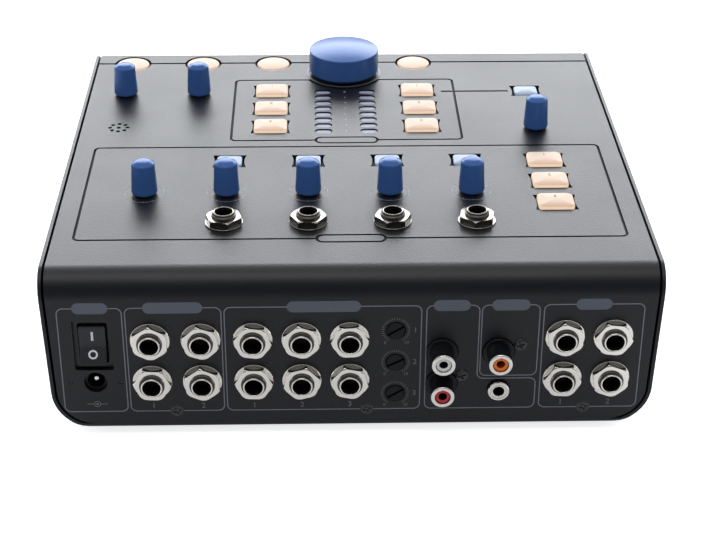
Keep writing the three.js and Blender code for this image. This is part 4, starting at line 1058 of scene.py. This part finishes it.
def build_top_print():
    """Scales round the knobs, digits beside the meter, and digits that lie on the keys."""
    marks = []
    arc = polar(7.2, np.radians(np.linspace(-60, 240, 61)))
    scale = [band(arc, 0.14, 0, INK, closed=False)]
    scale += [spun(cuboid((6.6, -0.08, 0), (7.6, 0.08, INK)), a) for a in np.radians(np.arange(-60, 241, 30))]
    marks += [on_top(part, name) for name in RING_KNOBS for part in scale]
    for step, (_, y) in enumerate(METER_SPOTS[:METER["rows"]]):
        marks.append(moved(text_part(str(step + 1), 2.1), 0, y, TOP))
    piece("top_marks", together(marks), PALE_INK)
    for name in WIDE_KEYS:
        points, faces = moved(text_part(name[-1], 2.9, 0.06), y=-2.3)
        share = (WIDE["half"][1] - np.abs(points[:, 1]) - KEY_SHOULDER) / face_span(WIDE)
        points[:, 2] += crown_height(WIDE["proud"], np.clip(share, 0, 1)) - 0.02
        piece(f"{name}_number", on_top((points, faces), name), DARK_INK, body=name)


# Camera, lamps and floor

def build_camera():
    """The photograph's view: where it stands, how it turns, tips and rolls, and its angle of view."""
    data = having(bpy.data.cameras.new("camera"), sensor_width=36.0, lens=87.08, clip_end=20)
    turn, tip, roll = (Matrix.Rotation(math.radians(degrees), 4, axis)
                       for degrees, axis in ((180 - 1.367, "Z"), (90 - 29.923, "X"), (0.184, "Z")))
    camera = new_object("camera", data)
    camera.matrix_world = Matrix.Translation((0.01234, 0.59931, 0.35403)) @ turn @ tip @ roll
    bpy.context.scene.camera = camera


def area_lamp(name, place, size, power, colour=(1, 1, 1)):
    """A rectangular lamp that faces the middle of the case."""
    lamp = new_object(name, having(bpy.data.lights.new(name, "AREA"), color=colour, shape="RECTANGLE",
                                   size=size[0], size_y=size[1], energy=power))
    lamp.location = place
    lamp.rotation_euler = (Vector((0, 0, 0.05)) - Vector(place)).to_track_quat("-Z", "Y").to_euler()


def faded(tree, coordinate, start, end, dark):
    """A grey that is 1 up to a start along Y and falls smoothly to a dark value at an end."""
    place = outputs_of(tree, "TexCoord")[coordinate]
    along = outputs_of(tree, "SeparateXYZ", Vector=place)["Y"]
    return remapped(tree, along, (start, end), (1.0, dark), "SMOOTHSTEP")


def pale_backdrop(tree, plain, mirrored):
    """A plain colour as a source of light, a grey that fades towards the room where gloss mirrors it, and
    white for rays from the camera and through glass."""
    rays = outputs_of(tree, "LightPath")
    seen = maths(tree, "MAXIMUM", rays["Is Camera Ray"], rays["Is Transmission Ray"])
    return mixed(tree, seen, mixed(tree, rays["Is Glossy Ray"], plain, mirrored), (1, 1, 1))


def build_stage():
    """A white room: the world, a floor that keeps the shadow and glows for the camera, and two lamps."""
    world = bpy.data.worlds.new("studio")
    world.use_nodes = True
    bpy.context.scene.world = world
    tree = world.node_tree
    sky = pale_backdrop(tree, (0.38, 0.39, 0.41), faded(tree, "Generated", 0.1, 0.75, 0.15))
    tree.links.new(sky, tree.nodes["Background"].inputs["Color"])
    floor_mesh = bpy.data.meshes.new("floor")
    floor_mesh.from_pydata([(-4, -4, 0), (4, -4, 0), (4, 4, 0), (-4, 4, 0)], [], [(0, 1, 2, 3)])
    material = bpy.data.materials.new("pale_floor")
    material.use_nodes = True
    tree = material.node_tree
    rays = outputs_of(tree, "LightPath")
    mirrored_glow = mixed(tree, rays["Is Glossy Ray"], (0, 0, 0), (0.20, 0.20, 0.21))
    set_node(tree, tree.nodes["Principled BSDF"], Roughness=0.9, Specular_IOR_Level=0.1,
             Base_Color=pale_backdrop(tree, (0.62, 0.62, 0.64), faded(tree, "Object", 0.20, 0.45, 0.15)),
             Emission_Color=mixed(tree, rays["Is Camera Ray"], mirrored_glow, (0.75, 0.75, 0.75)),
             Emission_Strength=1.0)
    floor_mesh.materials.append(material)
    new_object("floor", floor_mesh)
    area_lamp("far_softbox", (0, -1.35, 0.70), (2.2, 0.65), 33, (0.93, 0.96, 1.0))
    area_lamp("overhead_softbox", (0.1, 0.5, 1.8), (1.4, 0.8), 8)
    bpy.context.scene.view_settings.view_transform = "Standard"


def dress_kept_nodes():
    """The boards stay as they are and get their finish."""
    for name in ("main_board", "jack_board"):
        mesh = frame["nodes"][name].data
        mesh.materials.clear()
        mesh.materials.append(BOARD)


build_camera()
build_case()
build_knobs()
build_keys()
build_meter()
build_sockets()
build_phonos()
build_rear_small_parts()
build_rocker()
build_rear_print()
build_top_print()
dress_kept_nodes()
build_stage()
